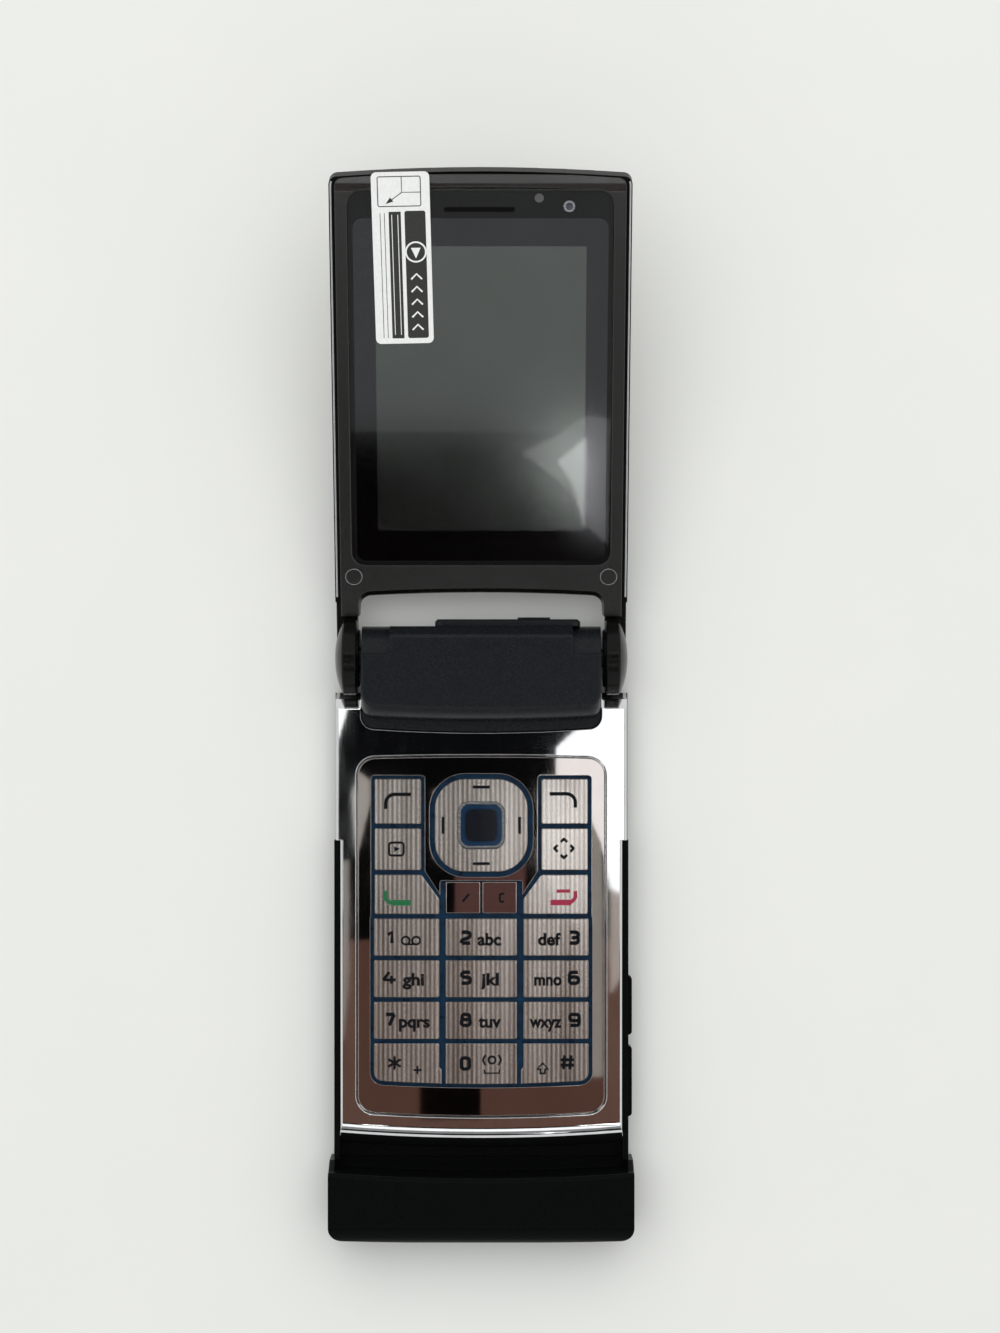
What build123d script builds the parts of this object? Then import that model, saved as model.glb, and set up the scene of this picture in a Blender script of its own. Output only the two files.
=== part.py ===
from build123d import *
from math import asin, cos, radians, sin
import os

# Clamshell phone, lying on its back and open. Millimetres.
# Row frame: origin at the foot of the hinge axis on the resting plane, +X to the right of someone
# who reads the keys, +Y from the keys to the lid, +Z up. The lid is modelled flat-open in its own
# frame (y along the lid from the hinge axis, z from the axis) and then tilted to its open stop.
# Widths follow from the body's half width, lengths along the base from the rows of keys.

# ---- whole phone ----
CLOSED_THICKNESS = 13.7
HINGE_Z = CLOSED_THICKNESS / 2
LID_TILT = 20.0              # the open lid stands this far above flat, in degrees
LID_THICK = 5.4
LID_BELOW_CHIN = 0.1         # back of the closed lid below the chin's top
FACE_GAP = 0.3               # between the key side and the closed lid
FRAME_TOP = CLOSED_THICKNESS - LID_BELOW_CHIN - LID_THICK - FACE_GAP
WALL_DROP = 0.6              # rear housing's wall below the frame's surface
WALL_TOP = FRAME_TOP - WALL_DROP
BODY_HALF = 25.2
END_BOW = 0.95               # how far the curved ends stand out in the middle

# ---- clearances ----
SLIP = 0.15                  # round a piece that moves
SEAT = 0.10                  # round a piece that drops into its seat
RUNNING = 0.05               # radial, shaft in bush
LAYER_GAP = 0.1              # between stacked layers
CUT = 1.0                    # how far a cutting shape reaches past the face it cuts

# ---- hinge knuckles, from the body's side inwards ----
KNUCKLE_INSET = 0.15
KNUCKLE_LENGTH = 3.85
KNUCKLE_GAP = 0.5            # knuckle's inner face to the side of the lid's opening
KNUCKLE_LIFT = 0.35          # knuckle above the resting plane
KNUCKLE_DOME = 1.35          # depth of the domed outer face
KNUCKLE_EDGE = 0.25
COLLAR_RADIUS = 5.0          # boss on the knuckle's inner face, towards the barrel
COLLAR_RISE = 0.4
KNUCKLE_OUTER = BODY_HALF - KNUCKLE_INSET
KNUCKLE_INNER = KNUCKLE_OUTER - KNUCKLE_LENGTH
KNUCKLE_RIM = KNUCKLE_OUTER - KNUCKLE_DOME
KNUCKLE_RADIUS = HINGE_Z - KNUCKLE_LIFT
SADDLE_GAP = 0.5
OPENING_HALF = KNUCKLE_INNER - KNUCKLE_GAP

# ---- barrel between the knuckles ----
BARREL_HALF = OPENING_HALF - FACE_GAP
BARREL_RADIUS = 11.0         # front face, about the hinge axis, in the middle
BARREL_SAG = 0.65            # the front face falls back this much at its ends
BARREL_CORNER = 2.0
BARREL_END = 5.4             # flat end wall towards the lid
BARREL_EDGE_FLAT = 1.6       # sloping edge above the end wall, along Y
BARREL_EDGE_DROP = 2.2
BARREL_RIM = 0.3             # bevel round the flat top and along the notches
FOOT_REACH = 12.6
FOOT_BOW = 0.8
FOOT_TOP_DROP = 0.05         # foot below the frame's surface
NOTCH_WIDTH = 4.8
NOTCH_START = 0.8
NOTCH_RADIUS = 5.4
NOTCH_INNER = BARREL_HALF - NOTCH_WIDTH

# ---- hinge, inside the barrel ----
CARTRIDGE_RADIUS = 3.4
CARTRIDGE_LENGTH = 11.4
CARTRIDGE_INNER = BARREL_HALF - CARTRIDGE_LENGTH
SHAFT_RADIUS = 1.6
SHAFT_STOP = 2.0             # blind end of the cartridge
SHAFT_CAP = 1.05             # metal left outside the shafts in the knuckles
SHAFT_INNER = CARTRIDGE_INNER + SHAFT_STOP
SHAFT_OUTER = KNUCKLE_OUTER - SHAFT_CAP
BUSH_RADIUS = 3.2
BUSH_LENGTH = 5.9
BUSH_INNER = BARREL_HALF - BUSH_LENGTH
TUBE_RADIUS = 2.0
TUBE_BORE = 1.4

# ---- rear camera, beside the bush on the barrel's underside ----
CAMERA_RADIUS = 2.9
CAMERA_BESIDE_BUSH = 4.3
CAMERA_X = -BUSH_INNER + CAMERA_BESIDE_BUSH
CAMERA_Y = -2.6
CAMERA_HEIGHT = 4.05
WINDOW_RADIUS = 3.6
WINDOW_RECESS = 0.25
WINDOW_THICK = 0.6
CAMERA_LOW = WINDOW_RECESS + WINDOW_THICK
LENS_CONE = 1.2

# ---- audio jack, end trim, power key ----
JACK_BORE = 1.8              # takes a 3.5 mm plug
JACK_DEPTH = 12.0
JACK_WIDTH = 6.4
JACK_HEIGHT = 6.0
JACK_LENGTH = 13.2
JACK_MOUTH = 2.1
JACK_WALL = 1.1              # between camera and jack
JACK_X = CAMERA_X + CAMERA_RADIUS + JACK_WALL + JACK_WIDTH / 2
TRIM_BEFORE_JACK = 4.9
TRIM_END_GAP = 3.5
TRIM_LEFT = JACK_X - TRIM_BEFORE_JACK
TRIM_RIGHT = BARREL_HALF - TRIM_END_GAP
TRIM_THICK = 1.2
TRIM_BELOW_AXIS = 3.65
TRIM_ABOVE_AXIS = 3.75
TRIM_CORNER = 1.5
TRIM_EDGE = 0.4
POWER_BEFORE_END = 7.9
POWER_X = TRIM_RIGHT - POWER_BEFORE_END
POWER_LENGTH = 5.6
POWER_HEIGHT = 2.4
POWER_PROUD = 0.35
POWER_GAP = 0.4              # free travel room behind the key

# ---- keys, distances from the hinge axis towards the chin ----
PANEL_START = 16.8
SIDE_TOP_MARGIN = 3.9
KEY_GAP = 0.77
SOFT_HEIGHT = 7.7
MIDDLE_HEIGHT = 7.15
CALL_HEIGHT = 6.75
CALL_CUT = 4.2               # the diagonal inner corner of the call and end keys, along Y
ROW_HEIGHT = 6.36
BOTTOM_ROW_EXTRA = 0.6
FIELD_BOW = 0.6              # the key field's foot stands out this much in the middle
SIDE_TOP = PANEL_START + SIDE_TOP_MARGIN
SOFT_KEY = (SIDE_TOP, SIDE_TOP + SOFT_HEIGHT)
MIDDLE_KEY = (SOFT_KEY[1] + KEY_GAP, SOFT_KEY[1] + KEY_GAP + MIDDLE_HEIGHT)
CALL_KEY = (MIDDLE_KEY[1] + KEY_GAP, MIDDLE_KEY[1] + KEY_GAP + CALL_HEIGHT)
FIRST_ROW = CALL_KEY[1] + KEY_GAP
ROW_PITCH = ROW_HEIGHT + KEY_GAP
LAST_ROW = FIRST_ROW + 3 * ROW_PITCH
FIELD_FOOT = LAST_ROW + ROW_HEIGHT + BOTTOM_ROW_EXTRA
NAV_SIZE = 15.9
NAV_CORNER = 5.2
NAV_REVEAL = 0.9
NAV_Y = -(SIDE_TOP + NAV_SIZE / 2)
MIRROR_KEY_GAP = 0.79        # between the ring's surround and the mirror keys
MIRROR_KEY_LIFT = 0.1        # foot of the mirror keys above that of the call key
EDIT_KEY = (SIDE_TOP + NAV_SIZE + NAV_REVEAL + MIRROR_KEY_GAP, CALL_KEY[1] - MIRROR_KEY_LIFT)

# ---- ends of panel, frame, housing, chin and lid, from the key field's foot ----
PANEL_FOOT_MARGIN = 5.54
FRAME_FOOT_MARGIN = 5.4
CHIN_GAP = 4.45
CHIN_DEPTH = 11.3
HOUSING_BEHIND_STEP = 2.35
THUMB_GAP = 4.25             # closed lid's tip to the chin's step
PANEL_END = FIELD_FOOT + PANEL_FOOT_MARGIN
FRAME_END = PANEL_END + FRAME_FOOT_MARGIN
CHIN_STEP = FRAME_END + CHIN_GAP
HOUSING_END = CHIN_STEP - HOUSING_BEHIND_STEP
BASE_REACH = CHIN_STEP + CHIN_DEPTH
LID_REACH = CHIN_STEP - THUMB_GAP

# ---- chrome front frame ----
FRAME_INSET = 0.25
FRAME_NARROWING = 0.75
FRAME_THICK = 1.7
FRAME_HALF = BODY_HALF - FRAME_INSET
FRAME_HALF_LOW = FRAME_HALF - FRAME_NARROWING
FRAME_BOTTOM = FRAME_TOP - FRAME_THICK
FRAME_START = 8.75           # flat surface starts here beside the barrel
FRAME_RAMP_DROP = 1.3        # it slopes down by this towards the knuckles
FRAME_STEP = 31.2            # chrome wraps the sides as far as this
FRAME_EDGE = 0.5
SEAM_EDGE = 0.18             # bevel on both sides of the seams in the chrome face
LIP_RUN = 3.4                # the lip curves down over this length
LIP_DROP = 1.4
LIP_THICK = 1.9
LIP_HEIGHT = 4.4
SKIRT_THICK = 0.6
RECESS_FLOOR = FRAME_TOP - LIP_HEIGHT

# ---- key panel ----
PANEL_SIDE_MARGIN = 3.0
PANEL_HALF = FRAME_HALF_LOW - PANEL_SIDE_MARGIN
PANEL_CORNER = 3.0
PANEL_THICK = 0.8
PANEL_LEDGE = 1.0
PANEL_START_BOW = 0.35
PANEL_END_BOW = 0.75
GROOVE = 0.12

# ---- key widths ----
KEY_PROUD = 0.05             # keys above the frame's surface
KEY_TOP = FRAME_TOP + KEY_PROUD
KEY_THICK = 0.75
KEY_ROUND = 0.35
KEY_EDGE = 0.12
KEY_REVEAL = 0.62            # blue surround that shows outside the keys
MIRROR_SLIT = 0.18           # slit round the two mirror keys
FIELD_SIDE_MARGIN = 2.8
SIDE_STEP_IN = 0.15
COLUMN_OUTER = PANEL_HALF - FIELD_SIDE_MARGIN
COLUMN_MIDDLE = 6.1
COLUMN_GAP = 1.1
COLUMN_INNER = COLUMN_MIDDLE + COLUMN_GAP
FOOT_STEP = 0.4              # the outer bottom keys widen inwards by this at their foot
FOOT_STEP_DOWN = 4.1
BOTTOM_CORNER = 1.6
NAV_WEB = 0.83               # panel left between the ring's surround and the side keys'
SIDE_INNER = NAV_SIZE / 2 + NAV_REVEAL + NAV_WEB + KEY_REVEAL
SIDE_OUTER = COLUMN_OUTER - SIDE_STEP_IN
SELECT_SIZE = 7.0
SELECT_CORNER = 1.4
SELECT_REVEAL = 0.5

# ---- layers under the keys ----
BOARD_BELOW_TOP = 2.4
BOARD_BOTTOM = FRAME_TOP - BOARD_BELOW_TOP
BOARD_THICK = 0.6
BOARD_END_GAP = 0.75
BOARD_END = FRAME_END - END_BOW - LIP_THICK - BOARD_END_GAP
DOME_FOIL = 0.15
DOME_RISE = 0.15
DOME_RADIUS = 2.0
SHEET_THICK = 0.4
CARRIER_SIZE = 11.0
CARRIER_HOLE = 8.4
CARRIER_THICK = 0.4
CARRIER_LIFT = 0.2

# ---- side keys in the right wall ----
SIDE_KEY_PROUD = 0.65
SIDE_KEY_DEPTH = 2.35
SIDE_KEY_HEIGHT = 3.0
SIDE_KEY_BELOW_WALL = 1.4
SIDE_KEY_ROOM = 0.6          # behind the keys
SIDE_KEY_WALL = 0.3
SIDE_KEY_GAP = 1.9
ROCKER_LENGTH = 10.1
CAPTURE_LENGTH = 12.1
CAPTURE_BEFORE_END = 7.3
SIDE_KEY_LOW = WALL_TOP - SIDE_KEY_BELOW_WALL - SIDE_KEY_HEIGHT
SIDE_KEY_OUTER = BODY_HALF + SIDE_KEY_PROUD
SIDE_POCKET_INNER = SIDE_KEY_OUTER - SIDE_KEY_DEPTH - SIDE_KEY_ROOM
CAPTURE = (HOUSING_END - CAPTURE_BEFORE_END - CAPTURE_LENGTH, HOUSING_END - CAPTURE_BEFORE_END)
ROCKER = (CAPTURE[0] - SIDE_KEY_GAP - ROCKER_LENGTH, CAPTURE[0] - SIDE_KEY_GAP)

# ---- inside of the rear housing ----
FLOOR = 1.0
BOTTOM_ROUND = 2.0
SHOULDER_START = 6.0
BAY_HALF = SIDE_POCKET_INNER - SIDE_KEY_WALL
BAY_BEHIND_FOOT = 0.4
BAY_LENGTH = 16.0
BAY_START = FOOT_REACH + BAY_BEHIND_FOOT
BAY_END = BAY_START + BAY_LENGTH

# ---- battery and its cover ----
COVER_THICK = 1.0
COVER_CORNER = 2.5
COVER_GAP = 0.1              # above the closed cover
COVER_SIDE_MARGIN = 2.8
COVER_BEHIND_BAY = 0.9
COVER_BEFORE_END = 5.6
COVER_HALF = BODY_HALF - COVER_SIDE_MARGIN
COVER_START = BAY_END + COVER_BEHIND_BAY
COVER_END = HOUSING_END - COVER_BEFORE_END
DIMPLE_RADIUS = 12.0         # thumb dimple of the cover
DIMPLE_DEPTH = 0.45
DIMPLE_BEFORE_END = 6.5
CEILING = 0.55               # housing left above the battery, with its room
BATTERY_SIDE_MARGIN = 5.1
BATTERY_BEHIND_START = 1.5
BATTERY_BEFORE_END = 1.0
BATTERY_HALF = COVER_HALF - BATTERY_SIDE_MARGIN
BATTERY_START = COVER_START + BATTERY_BEHIND_START
BATTERY_END = COVER_END - BATTERY_BEFORE_END
BATTERY_TOP = BOARD_BOTTOM - CEILING

# ---- small inner pieces ----
CAN_HEIGHT = 2.9
CAN_WALL = 0.3
CAN_BEHIND_BAY = 1.6
CAN_BEFORE_END = 1.4
CAN_SIDE_MARGIN = 3.1
CAN_USB_MARGIN = 8.6
CANS_MIDDLE = -2.25          # between the two cans
CANS_GAP = 1.5
CAN_START = BAY_START + CAN_BEHIND_BAY
CAN_END = BAY_END - CAN_BEFORE_END
LEFT_CAN = (CAN_SIDE_MARGIN - BAY_HALF, CANS_MIDDLE - CANS_GAP / 2)
RIGHT_CAN = (CANS_MIDDLE + CANS_GAP / 2, BAY_HALF - CAN_USB_MARGIN)
USB_BEHIND_BAY = 10.05
USB_Y = -(BAY_START + USB_BEHIND_BAY)
USB_WIDTH = 7.5
USB_HEIGHT = 2.45
USB_DEPTH = 5.6
USB_WALL = 0.3
USB_BACK = 1.0
USB_OUTER = FRAME_HALF - SKIRT_THICK - SLIP
DOOR_SIDE_MARGIN = 0.625
DOOR_BELOW_USB = 0.3
DOOR_ABOVE_USB = 0.65
SKIRT_BELOW_DOOR = 0.45
DOOR_HALF = USB_WIDTH / 2 + DOOR_SIDE_MARGIN
DOOR_LOW = BOARD_BOTTOM - USB_HEIGHT - DOOR_BELOW_USB
DOOR_HIGH = BOARD_BOTTOM + DOOR_ABOVE_USB
SKIRT_LOW = DOOR_LOW - SKIRT_BELOW_DOOR
SCREW_HEAD = 1.1
SCREW_SHANK = 0.65
SCREW_HEAD_HEIGHT = 0.7
SCREW_RECESS = 0.2
SCREW_LENGTH = 2.4
SCREW_BEFORE_BAY = 2.4
SCREW_BEHIND_COVER = 2.6
SCREW_BARREL_MARGIN = 6.4
SCREW_COVER_MARGIN = 1.8

# ---- chin ----
CHIN_OVERHANG = 0.8
CHIN_HALF = BODY_HALF + CHIN_OVERHANG
CHIN_WALL = 1.2
CHIN_FRONT_WALL = 1.35
CHIN_REAR_WALL = 2.6
CHIN_BOW = 0.57              # bow of the chin's end face
CHIN_CORNER = 2.4
CHIN_RAMP = 2.2              # top of the side ramps below the chin's top
CHIN_TOP_ROUND = 3.4
CHIN_FOOT_ROUND = 2.6
CHIN_LIP_ROUND = 0.9
CHIN_BACK = CHIN_STEP + CHIN_FRONT_WALL
SPEAKER_HALF = 7.0
SPEAKER_GAP = 0.5
SPEAKER_LENGTH = 6.8
SPEAKER_THICK = 3.4
SPEAKER = (CHIN_BACK + SPEAKER_GAP, CHIN_BACK + SPEAKER_GAP + SPEAKER_LENGTH)
SOUND_SLOTS = 5
SOUND_SLOT_WIDTH = 0.8
SOUND_SLOT_PITCH = 2.0
SOUND_SLOT_MARGIN = 1.1

# ---- lid, heights below the hinge axis when flat open ----
LID_INNER = HINGE_Z - FRAME_TOP - FACE_GAP
LID_OUTER = LID_INNER - LID_THICK
LID_HALF = FRAME_HALF
LID_START = 9.5
LID_CORNER = 1.4
LID_ROUND = 1.8
LID_WALL = 1.5
LID_FLOOR = 0.75
RIM_WIDTH = 0.95
RIM_DROP = 0.35
BEZEL_HALF = LID_HALF - RIM_WIDTH
BEZEL_START = 7.05
BEZEL_THICK = 1.2
BEZEL_ROLL = 3.3             # the bezel's face rolls down over this length at the tip
ROLL_STEPS = ((2.0, 0.18), (0.6, 0.7))
TIP_FOOT = 0.1
MIRROR_THICK = 0.65
MIRROR_CORNER = 2.0
MIRROR_SIDE_MARGIN = 2.65
MIRROR_TIP_MARGIN = 3.3
MIRROR_HALF = LID_HALF - MIRROR_SIDE_MARGIN
OPENING_REACH = 11.0
OPENING_CORNER = 2.0
BAR_BEVEL = 1.15
SIDE_BEVEL = 0.3
ARM_INSET = 0.45
ARM_SIDE_INSET = 0.15
ARM_ROUND = 1.0
ARM_HALF = LID_HALF - ARM_SIDE_INSET
ARM_LOW = LID_OUTER + ARM_INSET
FRAME_PLATE = 0.5
LID_FRAME_MARGIN = 1.7
GLASS_SIDE_MARGIN = 2.95
GLASS_BEHIND_BAR = 5.25
GLASS_TIP_MARGIN = 2.6
GLASS_HALF = LID_HALF - GLASS_SIDE_MARGIN
GLASS = (OPENING_REACH + GLASS_BEHIND_BAR, LID_REACH - GLASS_TIP_MARGIN)
GLASS_CORNER = 2.4
GLASS_THICK = 0.8
GLASS_RECESS = 0.15
GLASS_BOW = 0.55
MIRROR_BEFORE_GLASS = 1.75
MIRROR = (GLASS[0] - MIRROR_BEFORE_GLASS, LID_REACH - MIRROR_TIP_MARGIN)
DISPLAY_SIDE_MARGIN = 1.4
DISPLAY_FOOT_MARGIN = 1.25
DISPLAY_TIP_MARGIN = 5.1
DISPLAY_HALF = GLASS_HALF - DISPLAY_SIDE_MARGIN
DISPLAY = (GLASS[0] + DISPLAY_FOOT_MARGIN, GLASS[1] - DISPLAY_TIP_MARGIN)
DISPLAY_THICK = 1.5
SUB_HALF = 14.0
SUB_MARGIN = 8.75
SUB_LENGTH = 23.0
SUB = (GLASS[0] + SUB_MARGIN, GLASS[0] + SUB_MARGIN + SUB_LENGTH)
SUB_WINDOW_MARGIN = 1.0
EAR_X = -0.2
EAR_BEFORE_TIP = 6.3
EAR_Y = LID_REACH - EAR_BEFORE_TIP
EAR_SLOT = (11.7, 0.8)
EAR_SIZE = (12.6, 2.4)
LENS_SIDE_MARGIN = 7.4
LENS_BEFORE_TIP = 5.8
LENS_X = GLASS_HALF - LENS_SIDE_MARGIN
LENS_Y = LID_REACH - LENS_BEFORE_TIP
LENS_RADIUS = 1.0
LENS_BODY = 1.75
SENSOR_BESIDE_LENS = 4.95
SENSOR_ABOVE_LENS = 1.3
SENSOR_X = LENS_X - SENSOR_BESIDE_LENS
SENSOR_Y = LENS_Y + SENSOR_ABOVE_LENS
SENSOR_RADIUS = 0.75
CAP_SIDE_MARGIN = 3.25
CAP_BEHIND_OPENING = 3.2
CAP_X = LID_HALF - CAP_SIDE_MARGIN
CAP_Y = OPENING_REACH + CAP_BEHIND_OPENING
CAP_RADIUS = 1.3
CAP_RECESS = 0.1

# ---- pull tab of the screen film ----
TAB_SIDE_MARGIN = 9.1
TAB_X = TAB_SIDE_MARGIN - GLASS_HALF
TAB_LENGTH = 28.9
TAB_WIDTH = 9.6
TAB_THICK = 0.12
TAB_CORNER = 0.9
TAB_LEAN = 1.2               # degrees


# ------------------------------------------------------------------ helpers
def span(x, y, z):
    """Block between the low and high values of each axis."""
    size = [high - low for low, high in (x, y, z)]
    middle = [(high + low) / 2 for low, high in (x, y, z)]
    return Pos(*middle) * Box(*size)


def both(shape):
    """A piece and its mirror image on the other side of the symmetry plane."""
    return shape + mirror(shape, about=Plane.YZ)


def rod(radius, low, high, y=0, z=0):
    """Cylinder along X."""
    return Pos((low + high) / 2, y, z) * Rot(0, 90, 0) * Cylinder(radius, high - low)


def pin(radius, x, y, low, high):
    """Cylinder along Z."""
    return Pos(x, y, (low + high) / 2) * Cylinder(radius, high - low)


def outline(half, low, high, low_bow=0.0, high_bow=0.0, low_round=0.0, high_round=0.0):
    """Plan outline, symmetric in X, whose two ends may bow outwards by a given amount."""
    left_low, right_low = (-half, low + low_bow), (half, low + low_bow)
    left_high, right_high = (-half, high - high_bow), (half, high - high_bow)
    near = ThreePointArc(left_low, (0, low), right_low) if low_bow else Line(left_low, right_low)
    far = ThreePointArc(right_high, (0, high), left_high) if high_bow else Line(right_high, left_high)
    face = make_face([near, Line(right_low, right_high), far, Line(left_high, left_low)])
    middle = (low + high) / 2
    if low_round:
        face = fillet([v for v in face.vertices() if v.Y < middle], low_round)
    if high_round:
        face = fillet([v for v in face.vertices() if v.Y > middle], high_round)
    return face


def slab(face, low, high):
    """Plan outline raised between two heights."""
    return extrude(Pos(0, 0, low) * face, amount=high - low)


def side_slab(points, half):
    """Side view, given as (y, z) points, drawn out to both sides of the symmetry plane."""
    face = make_face(Polyline(*[(0, y, z) for y, z in points], close=True))
    return extrude(face, amount=half, dir=(1, 0, 0), both=True)


def swept_barrel(extra=0.0):
    """Body of revolution about the hinge axis whose front clears the lid's opening at any angle."""
    half = BARREL_HALF + extra
    shoulder = BARREL_RADIUS - BARREL_SAG + extra
    top = ThreePointArc((-half, shoulder), (0, BARREL_RADIUS + extra), (half, shoulder))
    sides = Polyline((half, shoulder), (half, 0), (-half, 0), (-half, shoulder))
    face = make_face([*top.edges(), *sides.edges()])
    corners = [v for v in face.vertices() if v.Y > shoulder / 2]
    return revolve(fillet(corners, BARREL_CORNER + extra), axis=Axis.X)


def lid_opening(extra_side=0.0, extra_far=0.0):
    """Plan of the lid's opening round the barrel."""
    half = OPENING_HALF + extra_side
    return outline(half, -OPENING_REACH, OPENING_REACH + extra_far, 0, BARREL_SAG, 0,
                   OPENING_CORNER + extra_side)


def at_hinge(shape):
    """Lid piece from its flat-open frame to its place at the open stop."""
    return Pos(0, 0, HINGE_Z) * Rot(LID_TILT, 0, 0) * shape


# ------------------------------------------------------------------ key outlines
def key_rect(x, y, corner=KEY_ROUND):
    """Key outline between X limits and distances from the axis towards the chin."""
    width, height = x[1] - x[0], y[1] - y[0]
    return Pos((x[0] + x[1]) / 2, -(y[0] + y[1]) / 2) * RectangleRounded(width, height, corner)


def call_outline(side, grow=0.0):
    """Call or end key: its inner top corner is cut away beside the navigation ring."""
    top, bottom = -CALL_KEY[0] + grow, -CALL_KEY[1] - grow
    outer, inner, low = SIDE_OUTER + grow, SIDE_INNER - grow, COLUMN_INNER - grow
    points = [(outer, top), (outer, bottom), (low, bottom), (low, top - CALL_CUT - grow), (inner, top)]
    face = make_face(Polyline(*[(side * x, y) for x, y in points], close=True))
    return fillet(face.vertices(), KEY_ROUND)


def number_field(grow=0.0):
    """Outline round the twelve number keys, with rounded lower corners and a bowed foot."""
    return outline(COLUMN_OUTER + grow, -FIELD_FOOT - grow, -FIRST_ROW + grow, FIELD_BOW, 0,
                   BOTTOM_CORNER + grow, grow)


def bottom_key(points):
    """Key of the bottom row: rounded upper corners, its foot cut to the field's outline."""
    face = make_face(Polyline(*points, close=True))
    return fillet(face.vertices().group_by(Axis.Y)[-1], KEY_ROUND) & number_field()


def corner_key(side):
    """Outer key of the bottom row, which steps inwards near its foot."""
    top, foot = -LAST_ROW, -FIELD_FOOT
    step = top - FOOT_STEP_DOWN
    inner = COLUMN_INNER - FOOT_STEP
    points = [(COLUMN_OUTER, top), (COLUMN_OUTER, foot), (inner, foot), (inner, step - FOOT_STEP),
              (COLUMN_INNER, step), (COLUMN_INNER, top)]
    return bottom_key([(side * x, y) for x, y in points])


NUMBER_NAMES = (("key_1", "key_2", "key_3"), ("key_4", "key_5", "key_6"), ("key_7", "key_8", "key_9"))


def number_keys():
    """Outlines of the twelve number keys."""
    columns = ((-COLUMN_OUTER, -COLUMN_INNER), (-COLUMN_MIDDLE, COLUMN_MIDDLE), (COLUMN_INNER, COLUMN_OUTER))
    keys = {}
    for row, names in enumerate(NUMBER_NAMES):
        top = FIRST_ROW + row * ROW_PITCH
        for name, limits in zip(names, columns):
            keys[name] = key_rect(limits, (top, top + ROW_HEIGHT))
    keys["key_star"] = corner_key(-1)
    left, right = columns[1]
    keys["key_0"] = bottom_key([(left, -LAST_ROW), (left, -FIELD_FOOT),
                                (right, -FIELD_FOOT), (right, -LAST_ROW)])
    keys["key_hash"] = corner_key(1)
    return keys


def side_keys():
    """Soft, middle, call and end keys beside the navigation ring."""
    keys = {}
    for side, soft, middle, call in ((-1, "soft_key_left", "media_key", "call_key"),
                                     (1, "soft_key_right", "menu_key", "end_key")):
        limits = sorted((side * SIDE_INNER, side * SIDE_OUTER))
        keys[soft] = key_rect(limits, SOFT_KEY)
        keys[middle] = key_rect(limits, MIDDLE_KEY)
        keys[call] = call_outline(side)
    return keys


def mirror_keys():
    """Edit and clear keys, in the mirror finish of the panel."""
    return {"edit_key": key_rect((-COLUMN_MIDDLE, -SLIP), EDIT_KEY),
            "clear_key": key_rect((SLIP, COLUMN_MIDDLE), EDIT_KEY)}


def key_openings():
    """Openings of the key panel: round the number keys, round each side column and round the ring."""
    holes = [number_field(KEY_REVEAL)]
    for side in (-1, 1):
        limits = sorted((side * (SIDE_INNER - KEY_REVEAL), side * (SIDE_OUTER + KEY_REVEAL)))
        column = (SOFT_KEY[0] - KEY_REVEAL, CALL_KEY[0] + KEY_REVEAL)
        holes.append(key_rect(limits, column, KEY_REVEAL))
        holes.append(call_outline(side, KEY_REVEAL))
    half = COLUMN_INNER - SLIP
    holes.append(key_rect((-half, half), (EDIT_KEY[0] - MIRROR_SLIT, FIRST_ROW)))
    size = NAV_SIZE + 2 * NAV_REVEAL
    holes.append(Pos(0, NAV_Y) * RectangleRounded(size, size, NAV_CORNER + NAV_REVEAL))
    return holes


def soften(cap):
    """Bevel round the top of a key."""
    return chamfer(cap.edges().group_by(Axis.Z)[-1], KEY_EDGE)


def key_cap(face):
    """Key cap with a softened top edge."""
    return soften(slab(face, KEY_TOP - KEY_THICK, KEY_TOP))


# ------------------------------------------------------------------ base: shells
def hinge_pockets():
    """Seats of the cartridge and bush, of the audio jack and of the ways for the shafts."""
    cartridge = rod(CARTRIDGE_RADIUS, CARTRIDGE_INNER, BARREL_HALF, z=HINGE_Z)
    bush = rod(BUSH_RADIUS, -BARREL_HALF, -BUSH_INNER, z=HINGE_Z)
    return cartridge + bush + jack_block(SEAT)


def jack_block(extra=0.0):
    """Room that the audio jack takes behind the barrel's end wall."""
    half = JACK_WIDTH / 2 + extra
    height = JACK_HEIGHT / 2 + extra
    return span((JACK_X - half, JACK_X + half), (BARREL_END - JACK_LENGTH - extra, BARREL_END),
                (HINGE_Z - height, HINGE_Z + height))


def knuckle_saddle():
    """Concave cylinders behind the two knuckles."""
    radius = KNUCKLE_RADIUS + SADDLE_GAP
    return both(rod(radius, OPENING_HALF, BODY_HALF + CUT, z=HINGE_Z))


def screw_places():
    top = (BARREL_HALF - SCREW_BARREL_MARGIN, SCREW_BEFORE_BAY - BAY_START)
    foot = (COVER_HALF - SCREW_COVER_MARGIN, -COVER_END - SCREW_BEHIND_COVER)
    return [(side * x, y) for x, y in (top, foot) for side in (-1, 1)]


def screw_holes():
    holes = Part()
    for x, y in screw_places():
        holes += pin(SCREW_HEAD + SEAT, x, y, 0, SCREW_RECESS + SCREW_HEAD_HEIGHT)
        holes += pin(SCREW_SHANK, x, y, 0, SCREW_RECESS + SCREW_HEAD_HEIGHT + SCREW_LENGTH)
    return holes


def side_key_pocket(limits):
    return span((SIDE_POCKET_INNER, BODY_HALF + CUT), (-limits[1] - SLIP, -limits[0] + SLIP),
                (SIDE_KEY_LOW - SLIP, SIDE_KEY_LOW + SIDE_KEY_HEIGHT + SLIP))


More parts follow.
